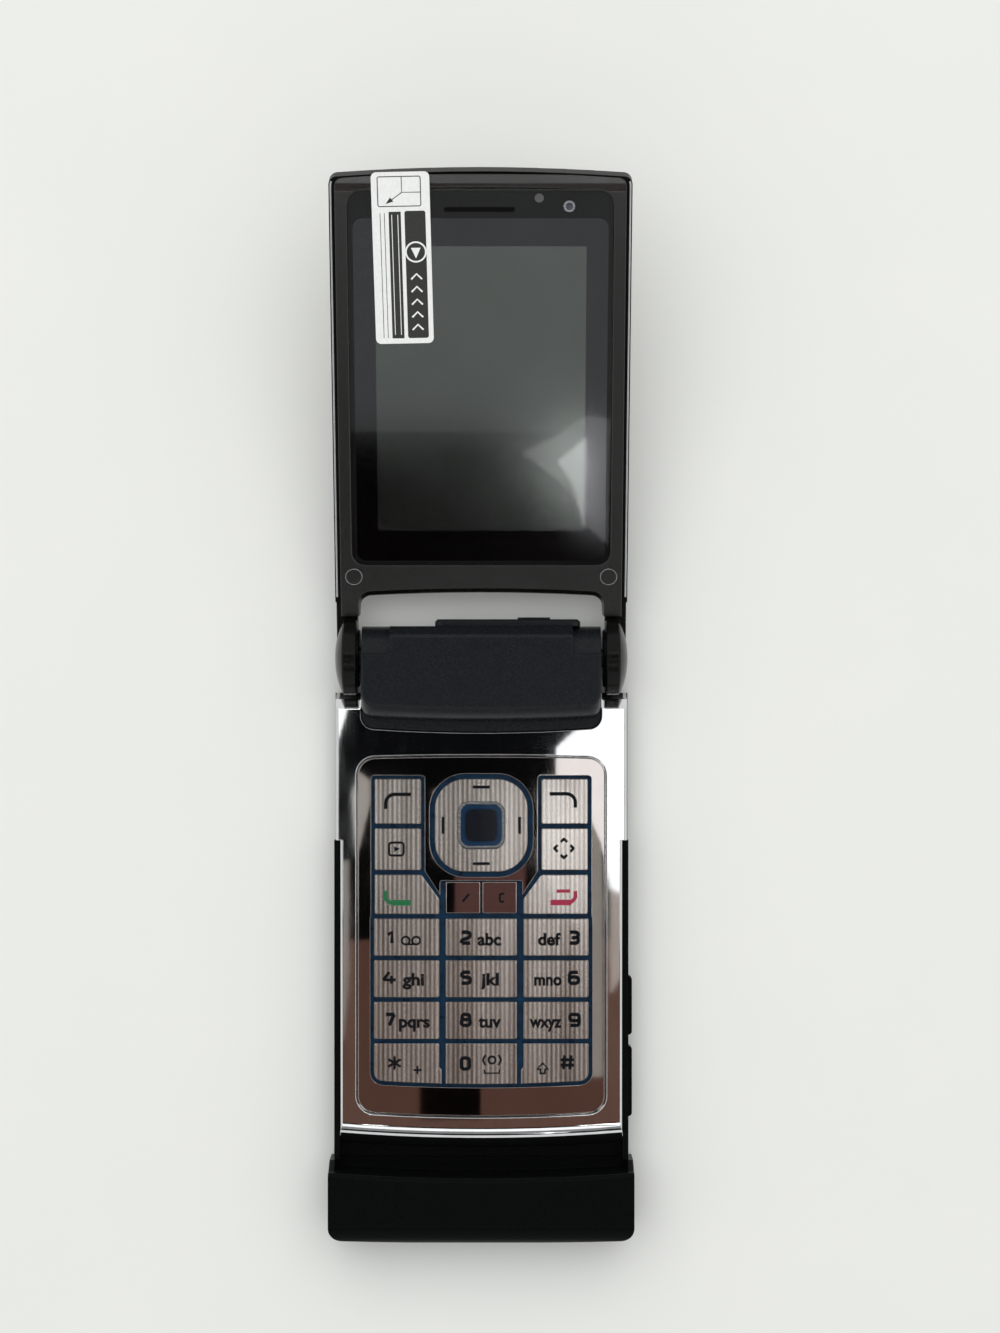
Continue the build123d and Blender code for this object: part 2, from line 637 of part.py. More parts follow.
def rear_housing():
    """Tub with the battery bay, electronics bay, side walls and the barrel's lower half."""
    front = Plane.XZ.offset(SHOULDER_START) * Pos(0, WALL_TOP / 2) * fillet(
        [v for v in Rectangle(2 * BODY_HALF, WALL_TOP).vertices() if v.Y < 0], BOTTOM_ROUND)
    tub = extrude(front, amount=HOUSING_END - SHOULDER_START)
    side = BODY_HALF + CUT
    tub -= span((-side, side), (-FRAME_STEP, 0), (FRAME_BOTTOM, WALL_TOP))
    tub -= both(span((FRAME_HALF - SKIRT_THICK, side), (-FRAME_STEP, 0), (SKIRT_LOW, WALL_TOP)))
    tub -= span((-FRAME_HALF_LOW, FRAME_HALF_LOW), (-HOUSING_END, -FRAME_STEP), (FRAME_BOTTOM, WALL_TOP))
    lip_back = FRAME_END - LIP_THICK - END_BOW
    tub -= span((-FRAME_HALF_LOW, FRAME_HALF_LOW), (-HOUSING_END, -lip_back), (RECESS_FLOOR, WALL_TOP))
    tub -= span((-BAY_HALF, BAY_HALF), (-BOARD_END - SEAT, -BAY_START), (BOARD_BOTTOM, WALL_TOP))
    tub -= span((-BAY_HALF, BAY_HALF), (-BAY_END, -BAY_START), (FLOOR, BOARD_BOTTOM))
    bay_half = BATTERY_HALF + SLIP
    tub -= span((-bay_half, bay_half), (-BATTERY_END - SLIP, -BATTERY_START + SLIP), (0, BATTERY_TOP + SEAT))
    recess = outline(COVER_HALF + SLIP, -COVER_END - SLIP, -COVER_START + SLIP, 0, 0,
                     COVER_CORNER, COVER_CORNER)
    tub -= slab(recess, 0, COVER_THICK)
    tub -= knuckle_saddle()
    barrel = span((-BARREL_HALF, BARREL_HALF), (-SHOULDER_START - CUT, BARREL_END), (0, HINGE_Z))
    barrel = fillet(barrel.edges().filter_by(Axis.X).group_by(Axis.Z)[0].sort_by(Axis.Y)[-1], BOTTOM_ROUND)
    step = span((-BARREL_HALF, BARREL_HALF), (-BAY_START, -SHOULDER_START), (FRAME_BOTTOM, HINGE_Z))
    foot = slab(foot_outline(), FRAME_BOTTOM, HINGE_Z)
    shell = tub + barrel + (step & foot)
    shell -= hinge_pockets()
    shell -= pin(WINDOW_RADIUS + SEAT, CAMERA_X, CAMERA_Y, 0, CAMERA_LOW)
    shell -= pin(CAMERA_RADIUS + SEAT, CAMERA_X, CAMERA_Y, 0, CAMERA_LOW + CAMERA_HEIGHT)
    shell -= screw_holes()
    shell -= side_key_pocket(ROCKER)
    shell -= side_key_pocket(CAPTURE)
    shell -= usb_room()
    return shell


def foot_outline(extra=0.0):
    """Plan of the barrel's foot, which is let into the chrome frame."""
    return outline(BARREL_HALF + extra, -FOOT_REACH - extra, 0, FOOT_BOW, 0, BARREL_CORNER + extra)


def barrel_cover():
    """Upper half of the barrel: a front face turned about the hinge axis, and a flat top and end."""
    top = CLOSED_THICKNESS
    block = side_slab([(-FOOT_REACH, HINGE_Z), (BARREL_END, HINGE_Z),
                       (BARREL_END, top - BARREL_EDGE_DROP), (BARREL_END - BARREL_EDGE_FLAT, top),
                       (-FOOT_REACH, top)], BARREL_HALF)
    cover = block & (Pos(0, 0, HINGE_Z) * swept_barrel())
    notch = span((NOTCH_INNER, BARREL_HALF + CUT), (NOTCH_START, BARREL_END + CUT), (HINGE_Z, top + CUT))
    notch -= rod(NOTCH_RADIUS, NOTCH_INNER - CUT, BARREL_HALF + 2 * CUT, z=HINGE_Z)
    cover -= both(notch)
    rims = cover.faces().sort_by(Axis.Z)[-1].outer_wire().edges()
    rims += cover.edges().filter_by_position(Axis.Y, BARREL_END - BARREL_EDGE_FLAT, BARREL_END, (False, False))
    cover = chamfer(rims.filter_by_position(Axis.Z, top - BARREL_EDGE_DROP, top, (False, True)), BARREL_RIM)
    cover += slab(foot_outline(), HINGE_Z, FRAME_TOP - FOOT_TOP_DROP)
    return cover - hinge_pockets()


def frame_rail(half, end):
    """Bar with rounded upper edges, from the hinge axis towards the chin."""
    section = Rectangle(2 * half, FRAME_TOP)
    section = fillet([v for v in section.vertices() if v.Y > 0], FRAME_EDGE)
    return extrude(Plane.XZ * Pos(0, FRAME_TOP / 2) * section, amount=end)


def lip_curve():
    """Room above the lower lip, whose curve follows the bow of the frame's end."""
    bow_radius = (FRAME_HALF_LOW ** 2 + END_BOW ** 2) / (2 * END_BOW)
    start, end = bow_radius - LIP_RUN, bow_radius
    drop_radius = (LIP_RUN ** 2 + LIP_DROP ** 2) / (2 * LIP_DROP)
    middle = asin(LIP_RUN / drop_radius) / 2
    curve = ThreePointArc((start, 0, FRAME_TOP),
                          (start + drop_radius * sin(middle), 0, FRAME_TOP - drop_radius * (1 - cos(middle))),
                          (end, 0, FRAME_TOP - LIP_DROP))
    room = Polyline((end, 0, FRAME_TOP - LIP_DROP), (end + CUT, 0, FRAME_TOP - LIP_DROP),
                    (end + CUT, 0, FRAME_TOP + CUT), (start, 0, FRAME_TOP + CUT), (start, 0, FRAME_TOP))
    ring = revolve(make_face([*curve.edges(), *room.edges()]), axis=Axis.Z)
    return Pos(0, bow_radius - FRAME_END) * ring


def front_frame():
    """Chrome frame round the key panel, wrapping the sides beside the hinge and the lower lip."""
    end = FRAME_END
    lip_back = end - LIP_THICK - END_BOW
    side = side_slab([(-end, FRAME_TOP), (-end, RECESS_FLOOR), (-lip_back, RECESS_FLOOR),
                      (-lip_back, FRAME_BOTTOM), (-SHOULDER_START, FRAME_BOTTOM),
                      (-SHOULDER_START, FRAME_TOP - FRAME_RAMP_DROP), (-FRAME_START, FRAME_TOP)], FRAME_HALF)
    narrow = frame_rail(FRAME_HALF_LOW, end) & slab(outline(FRAME_HALF_LOW, -end, 0, END_BOW), 0, FRAME_TOP)
    frame = side & (frame_rail(FRAME_HALF, FRAME_STEP) + narrow)
    frame += both(span((FRAME_HALF - SKIRT_THICK, FRAME_HALF), (-FRAME_STEP, -SHOULDER_START),
                       (SKIRT_LOW, FRAME_BOTTOM)))
    frame -= knuckle_saddle()
    frame -= lip_curve()
    frame -= slab(foot_outline(SEAT), FRAME_BOTTOM, FRAME_TOP)
    frame -= loft([Pos(0, 0, FRAME_TOP - SEAM_EDGE) * foot_outline(SEAT),
                   Pos(0, 0, FRAME_TOP) * foot_outline(SEAT + SEAM_EDGE)])
    frame -= slab(panel_outline(GROOVE), FRAME_TOP - PANEL_THICK, FRAME_TOP)
    frame -= loft([Pos(0, 0, FRAME_TOP - SEAM_EDGE) * panel_outline(GROOVE),
                   Pos(0, 0, FRAME_TOP) * panel_outline(GROOVE + SEAM_EDGE)])
    frame -= slab(panel_outline(-PANEL_LEDGE), FRAME_BOTTOM, FRAME_TOP)
    return frame - door_plate(SLIP)


# ------------------------------------------------------------------ base: key field
def panel_outline(extra=0.0):
    """Plan of the mirror plate that carries the keys."""
    return outline(PANEL_HALF + extra, -PANEL_END - extra, -PANEL_START + extra,
                   PANEL_END_BOW, PANEL_START_BOW, PANEL_CORNER + extra, PANEL_CORNER + extra)


def key_panel():
    panel = slab(panel_outline(), FRAME_TOP - PANEL_THICK, FRAME_TOP)
    panel = chamfer(panel.edges().group_by(Axis.Z)[-1], SEAM_EDGE)
    for hole in key_openings():
        panel -= slab(hole, FRAME_TOP - PANEL_THICK, FRAME_TOP)
    return panel


def dome_top():
    return BOARD_BOTTOM + BOARD_THICK + DOME_FOIL + DOME_RISE


def sheet_top():
    return dome_top() + LAYER_GAP + SHEET_THICK


def key_light_sheet():
    """Blue light guide that shows between the keys, open below the navigation ring."""
    low = dome_top() + LAYER_GAP
    sheet = slab(panel_outline(-PANEL_LEDGE - FACE_GAP), low, low + SHEET_THICK)
    hole = CARRIER_SIZE + 2 * SELECT_REVEAL
    return sheet - slab(Pos(0, NAV_Y) * Rectangle(hole, hole), low, low + SHEET_THICK)


def dome_sheet():
    """Foil on the board with one snap dome below each key."""
    low = BOARD_BOTTOM + BOARD_THICK
    sheet = slab(panel_outline(-PANEL_LEDGE - FACE_GAP), low, low + DOME_FOIL)
    faces = [*number_keys().values(), *side_keys().values(), *mirror_keys().values()]
    centres = [(face.center().X, face.center().Y) for face in faces] + [(0, NAV_Y)]
    for x, y in centres:
        sheet += pin(DOME_RADIUS, x, y, low, dome_top())
    return sheet


def nav_ring():
    """Four-way rocker ring round the select key."""
    hole = SELECT_SIZE + 2 * SELECT_REVEAL
    face = RectangleRounded(NAV_SIZE, NAV_SIZE, NAV_CORNER)
    face -= RectangleRounded(hole, hole, SELECT_CORNER + SELECT_REVEAL)
    return soften(slab(Pos(0, NAV_Y) * face, KEY_TOP - KEY_THICK + LAYER_GAP / 2, KEY_TOP))


def nav_carrier():
    """Gimbal plate below the ring."""
    low = dome_top() + CARRIER_LIFT
    face = RectangleRounded(CARRIER_SIZE, CARRIER_SIZE, SELECT_CORNER)
    face -= RectangleRounded(CARRIER_HOLE, CARRIER_HOLE, SELECT_CORNER)
    return slab(Pos(0, NAV_Y) * face, low, low + CARRIER_THICK)


def select_key():
    return key_cap(Pos(0, NAV_Y) * RectangleRounded(SELECT_SIZE, SELECT_SIZE, SELECT_CORNER))


# ------------------------------------------------------------------ base: inside
def main_board():
    face = outline(BAY_HALF - SEAT, -BOARD_END, -BAY_START - SEAT)
    return slab(face, BOARD_BOTTOM, BOARD_BOTTOM + BOARD_THICK)


def shield_cans():
    """Two pressed cans soldered below the board."""
    cans = Part()
    for low, high in (LEFT_CAN, RIGHT_CAN):
        bottom = BOARD_BOTTOM - CAN_HEIGHT
        can = span((low, high), (-CAN_END, -CAN_START), (bottom, BOARD_BOTTOM))
        can -= span((low + CAN_WALL, high - CAN_WALL), (-CAN_END + CAN_WALL, -CAN_START - CAN_WALL),
                    (bottom + CAN_WALL, BOARD_BOTTOM))
        cans += can
    return cans


def battery():
    return span((-BATTERY_HALF, BATTERY_HALF), (-BATTERY_END, -BATTERY_START),
                (COVER_THICK + COVER_GAP, BATTERY_TOP))


def battery_cover():
    """Cover with a shallow dimple for the thumb that slides it off."""
    face = outline(COVER_HALF, -COVER_END, -COVER_START, 0, 0, COVER_CORNER, COVER_CORNER)
    dimple = Pos(0, DIMPLE_BEFORE_END - COVER_END, DIMPLE_DEPTH - DIMPLE_RADIUS) * Sphere(DIMPLE_RADIUS)
    return slab(face, 0, COVER_THICK) - dimple


def usb_room():
    """Cut in the side wall for the data socket."""
    half = USB_WIDTH / 2 + SEAT
    return span((USB_OUTER - USB_DEPTH - SEAT, FRAME_HALF), (USB_Y - half, USB_Y + half),
                (BOARD_BOTTOM - USB_HEIGHT - SEAT, BOARD_BOTTOM))


def usb_port():
    """Small data socket: a folded metal shell and its tongue, opening to the right."""
    inner = USB_OUTER - USB_DEPTH + USB_BACK
    half = USB_WIDTH / 2
    low = BOARD_BOTTOM - USB_HEIGHT
    shell = span((USB_OUTER - USB_DEPTH, USB_OUTER), (USB_Y - half, USB_Y + half), (low, BOARD_BOTTOM))
    shell -= span((inner, USB_OUTER), (USB_Y - half + USB_WALL, USB_Y + half - USB_WALL),
                  (low + USB_WALL, BOARD_BOTTOM - USB_WALL))
    middle = low + USB_HEIGHT / 2
    tongue = span((inner, USB_OUTER - USB_BACK), (USB_Y - half / 2, USB_Y + half / 2),
                  (middle - USB_WALL, middle + USB_WALL))
    return shell + tongue


def door_plate(extra=0.0):
    """Flap over the data socket, or with extra its window in the chrome skirt."""
    half = DOOR_HALF + extra
    return span((FRAME_HALF - SKIRT_THICK, FRAME_HALF), (USB_Y - half, USB_Y + half),
                (DOOR_LOW - extra, DOOR_HIGH + extra))


def side_key(limits):
    """Key in the right wall, with rounded ends."""
    key = span((SIDE_KEY_OUTER - SIDE_KEY_DEPTH, SIDE_KEY_OUTER), (-limits[1], -limits[0]),
               (SIDE_KEY_LOW, SIDE_KEY_LOW + SIDE_KEY_HEIGHT))
    edges = key.edges().filter_by(Axis.Z).group_by(Axis.X)[-1]
    return fillet(edges, SIDE_KEY_PROUD)


def housing_screws():
    screws = Part()
    for x, y in screw_places():
        head_top = SCREW_RECESS + SCREW_HEAD_HEIGHT
        screws += pin(SCREW_HEAD, x, y, SCREW_RECESS, head_top)
        screws += pin(SCREW_SHANK, x, y, head_top, head_top + SCREW_LENGTH)
    return screws


# ------------------------------------------------------------------ base: barrel end
def barrel_end_trim():
    """Trim on the barrel's end wall with the mouth of the audio jack and the power key's slot."""
    size = (TRIM_RIGHT - TRIM_LEFT, TRIM_BELOW_AXIS + TRIM_ABOVE_AXIS)
    middle = ((TRIM_RIGHT + TRIM_LEFT) / 2, HINGE_Z + (TRIM_ABOVE_AXIS - TRIM_BELOW_AXIS) / 2)
    wall = Plane.XZ.offset(-BARREL_END - TRIM_THICK)
    trim = extrude(wall * Pos(*middle) * RectangleRounded(*size, TRIM_CORNER), amount=TRIM_THICK)
    trim = chamfer(trim.faces().sort_by(Axis.Y)[-1].edges(), TRIM_EDGE)
    mouth = wall * Pos(JACK_X, HINGE_Z) * Circle(JACK_MOUTH)
    slot = wall * Pos(POWER_X, HINGE_Z) * SlotOverall(POWER_LENGTH + 2 * SLIP, POWER_HEIGHT + 2 * SLIP)
    return trim - extrude(mouth, amount=TRIM_THICK) - extrude(slot, amount=TRIM_THICK)


def power_key():
    outer = BARREL_END + TRIM_THICK + POWER_PROUD
    face = Plane.XZ.offset(-outer) * Pos(POWER_X, HINGE_Z) * SlotOverall(POWER_LENGTH, POWER_HEIGHT)
    return extrude(face, amount=TRIM_THICK + POWER_PROUD - POWER_GAP)


def audio_jack():
    bore = Plane.XZ.offset(-BARREL_END) * Pos(JACK_X, HINGE_Z) * Circle(JACK_BORE)
    return jack_block() - extrude(bore, amount=JACK_DEPTH)


def hinge_cartridge():
    """Spring cartridge that turns the lid, with the bore of its shaft."""
    body = rod(CARTRIDGE_RADIUS, CARTRIDGE_INNER, BARREL_HALF, z=HINGE_Z)
    return body - rod(SHAFT_RADIUS + RUNNING, SHAFT_INNER - SLIP, BARREL_HALF, z=HINGE_Z)


def hinge_bush():
    body = rod(BUSH_RADIUS, -BARREL_HALF, -BUSH_INNER, z=HINGE_Z)
    return body - rod(TUBE_RADIUS + RUNNING, -BARREL_HALF, -BUSH_INNER, z=HINGE_Z)


def camera_module():
    """Rear camera with the cone that its lens looks out of."""
    body = pin(CAMERA_RADIUS, CAMERA_X, CAMERA_Y, CAMERA_LOW, CAMERA_LOW + CAMERA_HEIGHT)
    cone = Cone(CAMERA_RADIUS * 0.6, CAMERA_RADIUS * 0.3, LENS_CONE,
                align=(Align.CENTER, Align.CENTER, Align.MIN))
    return body - Pos(CAMERA_X, CAMERA_Y, CAMERA_LOW) * cone


def camera_window():
    return pin(WINDOW_RADIUS, CAMERA_X, CAMERA_Y, WINDOW_RECESS, CAMERA_LOW)


# ------------------------------------------------------------------ base: chin
def chin_profile():
    """Side view of the chin, rounded at the back, with ramps up from the housing's walls."""
    top, front = CLOSED_THICKNESS, END_BOW - CHIN_STEP
    face = make_face(Polyline((0, -HOUSING_END, 0), (0, -HOUSING_END, WALL_TOP), (0, front, top - CHIN_RAMP),
                              (0, front, top), (0, -BASE_REACH, top), (0, -BASE_REACH, 0), close=True))
    back = [v for v in face.vertices() if v.Y < -CHIN_STEP]
    face = fillet([v for v in back if v.Z > HINGE_Z], CHIN_TOP_ROUND)
    back = [v for v in face.vertices() if v.Y < -CHIN_STEP]
    return fillet([v for v in back if v.Z == min(w.Z for w in back) and v.Y == min(w.Y for w in back)],
                  CHIN_FOOT_ROUND)


def chin_cap():
    """Aerial cap across the end, as tall as the closed phone, with a step towards the lid's tip."""
    top = CLOSED_THICKNESS
    cap = extrude(chin_profile(), amount=CHIN_HALF, dir=(1, 0, 0), both=True)
    cap &= slab(outline(CHIN_HALF, -BASE_REACH, -HOUSING_END, CHIN_BOW, 0, CHIN_CORNER), 0, top)
    cap -= slab(outline(FRAME_HALF, -CHIN_STEP, -HOUSING_END + CUT, END_BOW), RECESS_FLOOR, top)
    cap -= span((-FRAME_HALF + CHIN_WALL, FRAME_HALF - CHIN_WALL), (-BASE_REACH + CHIN_REAR_WALL, -CHIN_BACK),
                (CHIN_WALL, top - CHIN_WALL))
    for index in range(SOUND_SLOTS):
        x = (index - (SOUND_SLOTS - 1) / 2) * SOUND_SLOT_PITCH
        cap -= span((x - SOUND_SLOT_WIDTH / 2, x + SOUND_SLOT_WIDTH / 2),
                    (-SPEAKER[1] + SOUND_SLOT_MARGIN, -SPEAKER[0] - SOUND_SLOT_MARGIN), (0, CHIN_WALL))
    lip = cap.edges().filter_by(GeomType.CIRCLE).filter_by_position(Axis.Z, top - SLIP, top + SLIP)
    return fillet(lip.sort_by(Axis.Y)[-1], CHIN_LIP_ROUND)


def loudspeaker():
    return span((-SPEAKER_HALF, SPEAKER_HALF), (-SPEAKER[1], -SPEAKER[0]),
                (CHIN_WALL, CHIN_WALL + SPEAKER_THICK))


# ------------------------------------------------------------------ lid
def tip_outline(half, low, high, corner, bow=END_BOW):
    return outline(half, low, high, 0, bow, 0, corner)


def bezel_floor():
    return LID_INNER - BEZEL_THICK


def glass_outline(extra=0.0):
    return outline(GLASS_HALF + extra, GLASS[0] - extra, GLASS[1] + extra, 0, GLASS_BOW,
                   GLASS_CORNER + extra, GLASS_CORNER + extra)


def lid_bezel():
    """Inner face of the lid: frame round the glass, sloping edge round the barrel's opening."""
    low = bezel_floor()
    plate = slab(tip_outline(BEZEL_HALF, BEZEL_START, LID_REACH - RIM_DROP / 2, LID_CORNER), low, LID_INNER)
    steps = [(LID_REACH - back, LID_INNER - drop) for back, drop in reversed(ROLL_STEPS)]
    roll = side_slab([(0, low), (LID_REACH, low), (LID_REACH, low + TIP_FOOT), *steps,
                      (LID_REACH - BEZEL_ROLL, LID_INNER), (0, LID_INNER)], LID_HALF)
    plate = plate & roll
    plate -= slab(lid_opening(), low, LID_INNER)
    bevel = loft([Pos(0, 0, low) * lid_opening(),
                  Pos(0, 0, LID_INNER) * lid_opening(SIDE_BEVEL, BAR_BEVEL)])
    plate -= bevel
    plate -= slab(glass_outline(), low, LID_INNER)
    return plate - both(pin(CAP_RADIUS + SEAT / 2, CAP_X, CAP_Y, low, LID_INNER))


def knuckle():
    """Right-hand knuckle: a disc about the hinge axis with a domed outer face."""
    shoulder = KNUCKLE_RADIUS - KNUCKLE_EDGE
    dome = ThreePointArc((KNUCKLE_RIM, shoulder), (KNUCKLE_RIM + KNUCKLE_DOME * 0.7, KNUCKLE_RADIUS * 0.55),
                         (KNUCKLE_OUTER, 0))
    collar = KNUCKLE_INNER - COLLAR_RISE
    rest = Polyline((KNUCKLE_OUTER, 0), (collar, 0), (collar, COLLAR_RADIUS - KNUCKLE_EDGE),
                    (collar + KNUCKLE_EDGE, COLLAR_RADIUS), (KNUCKLE_INNER, COLLAR_RADIUS), (KNUCKLE_INNER, shoulder),
                    (KNUCKLE_INNER + KNUCKLE_EDGE, KNUCKLE_RADIUS),
                    (KNUCKLE_RIM - KNUCKLE_EDGE, KNUCKLE_RADIUS), (KNUCKLE_RIM, shoulder))
    return revolve(make_face([*dome.edges(), *rest.edges()]), axis=Axis.X)


def plate_top():
    return LID_INNER - GLASS_RECESS - GLASS_THICK - DISPLAY_THICK


def lid_floor_top():
    return LID_OUTER + MIRROR_THICK + LID_FLOOR


def lid_frame():
    """Cast lid chassis: both knuckles, their arms, the bar between them and the display plate."""
    inner_half = LID_HALF - LID_WALL - SEAT
    floor = lid_floor_top()
    top = bezel_floor()
    arm = span((KNUCKLE_INNER, ARM_HALF), (0, LID_START - SEAT), (ARM_LOW, top))
    arm = fillet(arm.edges().filter_by(Axis.Y).group_by(Axis.Z)[0].sort_by(Axis.X)[-1], ARM_ROUND)
    arm += span((OPENING_HALF, inner_half), (KNUCKLE_RADIUS + CUT, OPENING_REACH + CUT), (floor, top))
    arm += span((OPENING_HALF, ARM_HALF), (KNUCKLE_RADIUS + CUT, LID_START - SEAT), (floor, top))
    frame = both(knuckle() + arm)
    bar = span((-inner_half, inner_half), (OPENING_REACH - BARREL_SAG - OPENING_CORNER, GLASS[0]),
               (floor, top))
    end = LID_REACH - LID_FRAME_MARGIN
    plate = slab(tip_outline(inner_half, GLASS[0], end, LID_CORNER), plate_top() - FRAME_PLATE, top)
    plate -= slab(glass_outline(-SEAT), plate_top(), top)
    frame += (bar + plate) - slab(lid_opening(), LID_OUTER, LID_INNER)
    frame -= rod(SHAFT_RADIUS, OPENING_HALF, SHAFT_OUTER)
    return frame - rod(TUBE_RADIUS, -SHAFT_OUTER, -OPENING_HALF)


def lid_cover():
    """Outer shell with the bright rim, open towards the glass, recessed for the mirror panel."""
    rim = LID_INNER - RIM_DROP
    shell = slab(tip_outline(LID_HALF, LID_START, LID_REACH, LID_CORNER), LID_OUTER, rim)
    low_edges = shell.edges().group_by(Axis.Z)[0]
    shell = fillet([e for e in low_edges if e.center().Y > LID_START + CUT], LID_ROUND)
    half = LID_HALF - LID_WALL
    shell -= slab(tip_outline(half, LID_START - CUT, LID_REACH - LID_WALL, LID_CORNER), lid_floor_top(), rim)
    shell -= slab(tip_outline(BEZEL_HALF + SEAT / 2, LID_START - CUT, LID_REACH - RIM_DROP / 2 + SEAT / 2,
                              LID_CORNER), bezel_floor(), rim)
    shell -= slab(lid_opening(), LID_OUTER, rim)
    shell -= slab(mirror_outline(SEAT), LID_OUTER, LID_OUTER + MIRROR_THICK)
    margin = SUB_WINDOW_MARGIN
    shell -= span((-SUB_HALF + margin, SUB_HALF - margin), (SUB[0] + margin, SUB[1] - margin),
                  (LID_OUTER, lid_floor_top()))
    return shell


def mirror_outline(extra=0.0):
    return outline(MIRROR_HALF + extra, MIRROR[0] - extra, MIRROR[1] + extra, 0, END_BOW,
                   MIRROR_CORNER + extra, MIRROR_CORNER + extra)


def lid_mirror_panel():
    return slab(mirror_outline(), LID_OUTER, LID_OUTER + MIRROR_THICK)


def glass_low():
    return LID_INNER - GLASS_RECESS - GLASS_THICK


def display_glass():
    """Window over display, earpiece, camera and sensor."""
    glass = slab(glass_outline(-SEAT), glass_low(), LID_INNER - GLASS_RECESS)
    slot = Pos(EAR_X, EAR_Y) * SlotOverall(*EAR_SLOT)
    glass -= slab(slot, glass_low(), LID_INNER)
    return glass - pin(LENS_RADIUS + RUNNING, LENS_X, LENS_Y, glass_low(), LID_INNER)


def main_display():
    return span((-DISPLAY_HALF, DISPLAY_HALF), DISPLAY, (plate_top(), glass_low()))


def sub_display():
    top = plate_top() - FRAME_PLATE
    return span((-SUB_HALF, SUB_HALF), SUB, (lid_floor_top() + RUNNING, top))


def earpiece():
    width, height = EAR_SIZE
    return span((EAR_X - width / 2, EAR_X + width / 2), (EAR_Y - height / 2, EAR_Y + height / 2),
                (plate_top(), glass_low()))


def front_camera_and_sensor():
    lens = pin(LENS_BODY, LENS_X, LENS_Y, plate_top(), glass_low())
    lens += pin(LENS_RADIUS, LENS_X, LENS_Y, glass_low(), glass_low() + GLASS_THICK - SEAT)
    return lens + pin(SENSOR_RADIUS, SENSOR_X, SENSOR_Y, plate_top(), glass_low())


def screw_caps():
    return both(pin(CAP_RADIUS, CAP_X, CAP_Y, bezel_floor(), LID_INNER - CAP_RECESS))


def hinge_shaft():
    return rod(SHAFT_RADIUS, SHAFT_INNER, SHAFT_OUTER)


def hinge_tube():
    """Hollow left-hand pin that lets the display cable through."""
    tube = rod(TUBE_RADIUS, -SHAFT_OUTER, -BUSH_INNER)
    return tube - rod(TUBE_BORE, -SHAFT_OUTER, -BUSH_INNER)


def pull_tab():
    """Paper tab stuck on the screen film; it lies on the bezel and reaches the lid's tip."""
    face = RectangleRounded(TAB_WIDTH, TAB_LENGTH, TAB_CORNER)
    face = Pos(TAB_X, LID_REACH - TAB_LENGTH / 2) * Rot(0, 0, TAB_LEAN) * face
    return slab(face, LID_INNER, LID_INNER + TAB_THICK)


# ------------------------------------------------------------------ assembly
BASE_PIECES = {
    "rear_housing": rear_housing, "chin_cap": chin_cap, "front_frame": front_frame,
    "key_panel": key_panel, "key_light_sheet": key_light_sheet, "dome_sheet": dome_sheet,
    "main_board": main_board, "shield_cans": shield_cans, "battery": battery, "usb_port": usb_port,
    "barrel_cover": barrel_cover, "barrel_end_trim": barrel_end_trim, "audio_jack": audio_jack,
    "camera_module": camera_module, "camera_window": camera_window, "hinge_cartridge": hinge_cartridge,
    "hinge_bush": hinge_bush, "loudspeaker": loudspeaker, "housing_screws": housing_screws,
    "battery_cover": battery_cover, "port_door": door_plate, "power_key": power_key,
    "nav_carrier": nav_carrier, "nav_ring": nav_ring, "select_key": select_key,
}
LID_PIECES = {
    "lid_frame": lid_frame, "lid_cover": lid_cover, "lid_mirror_panel": lid_mirror_panel,
    "lid_bezel": lid_bezel, "display_glass": display_glass, "main_display": main_display,
    "sub_display": sub_display, "earpiece": earpiece,
    "front_camera_and_sensor": front_camera_and_sensor, "screw_caps": screw_caps,
    "hinge_shaft": hinge_shaft, "hinge_tube": hinge_tube, "pull_tab": pull_tab,
}


def all_pieces():
    pieces = {name: make() for name, make in BASE_PIECES.items()}
    pieces["volume_rocker"] = side_key(ROCKER)
    pieces["capture_key"] = side_key(CAPTURE)
    for name, face in {**number_keys(), **side_keys(), **mirror_keys()}.items():
        pieces[name] = key_cap(face)
    pieces.update({name: at_hinge(make()) for name, make in LID_PIECES.items()})
    return pieces


def save(name, shape):
    """One STEP file per sub-part."""
    solids = shape.solids()
    body = solids[0] if len(solids) == 1 else Compound(solids)
    body.label = name
    export_step(body, f"parts/{name}.step")


os.makedirs("parts", exist_ok=True)
for piece_name, piece in all_pieces().items():
    save(piece_name, piece)
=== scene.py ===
"""Finishes, printed marks and small fittings of an open flip phone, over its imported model.

Sizes are in millimetres in the classes below and are turned to metres where a mesh is made. The origin is
the foot of the hinge axis, +X to the right, +Y towards the lid and +Z up. The lid's own pieces are laid out
flat about the hinge axis and raised with the lid by LID_PLACE.
"""

import logging
import math
from collections.abc import Iterable, Mapping, Sequence
from dataclasses import dataclass, field, replace
from enum import Enum
from typing import Any, ClassVar

import bmesh
import bpy
from bpy.types import Material, Mesh, Node, NodeSocket, NodeTree, Object
from mathutils import Matrix, Vector
from mathutils.geometry import convex_hull_2d


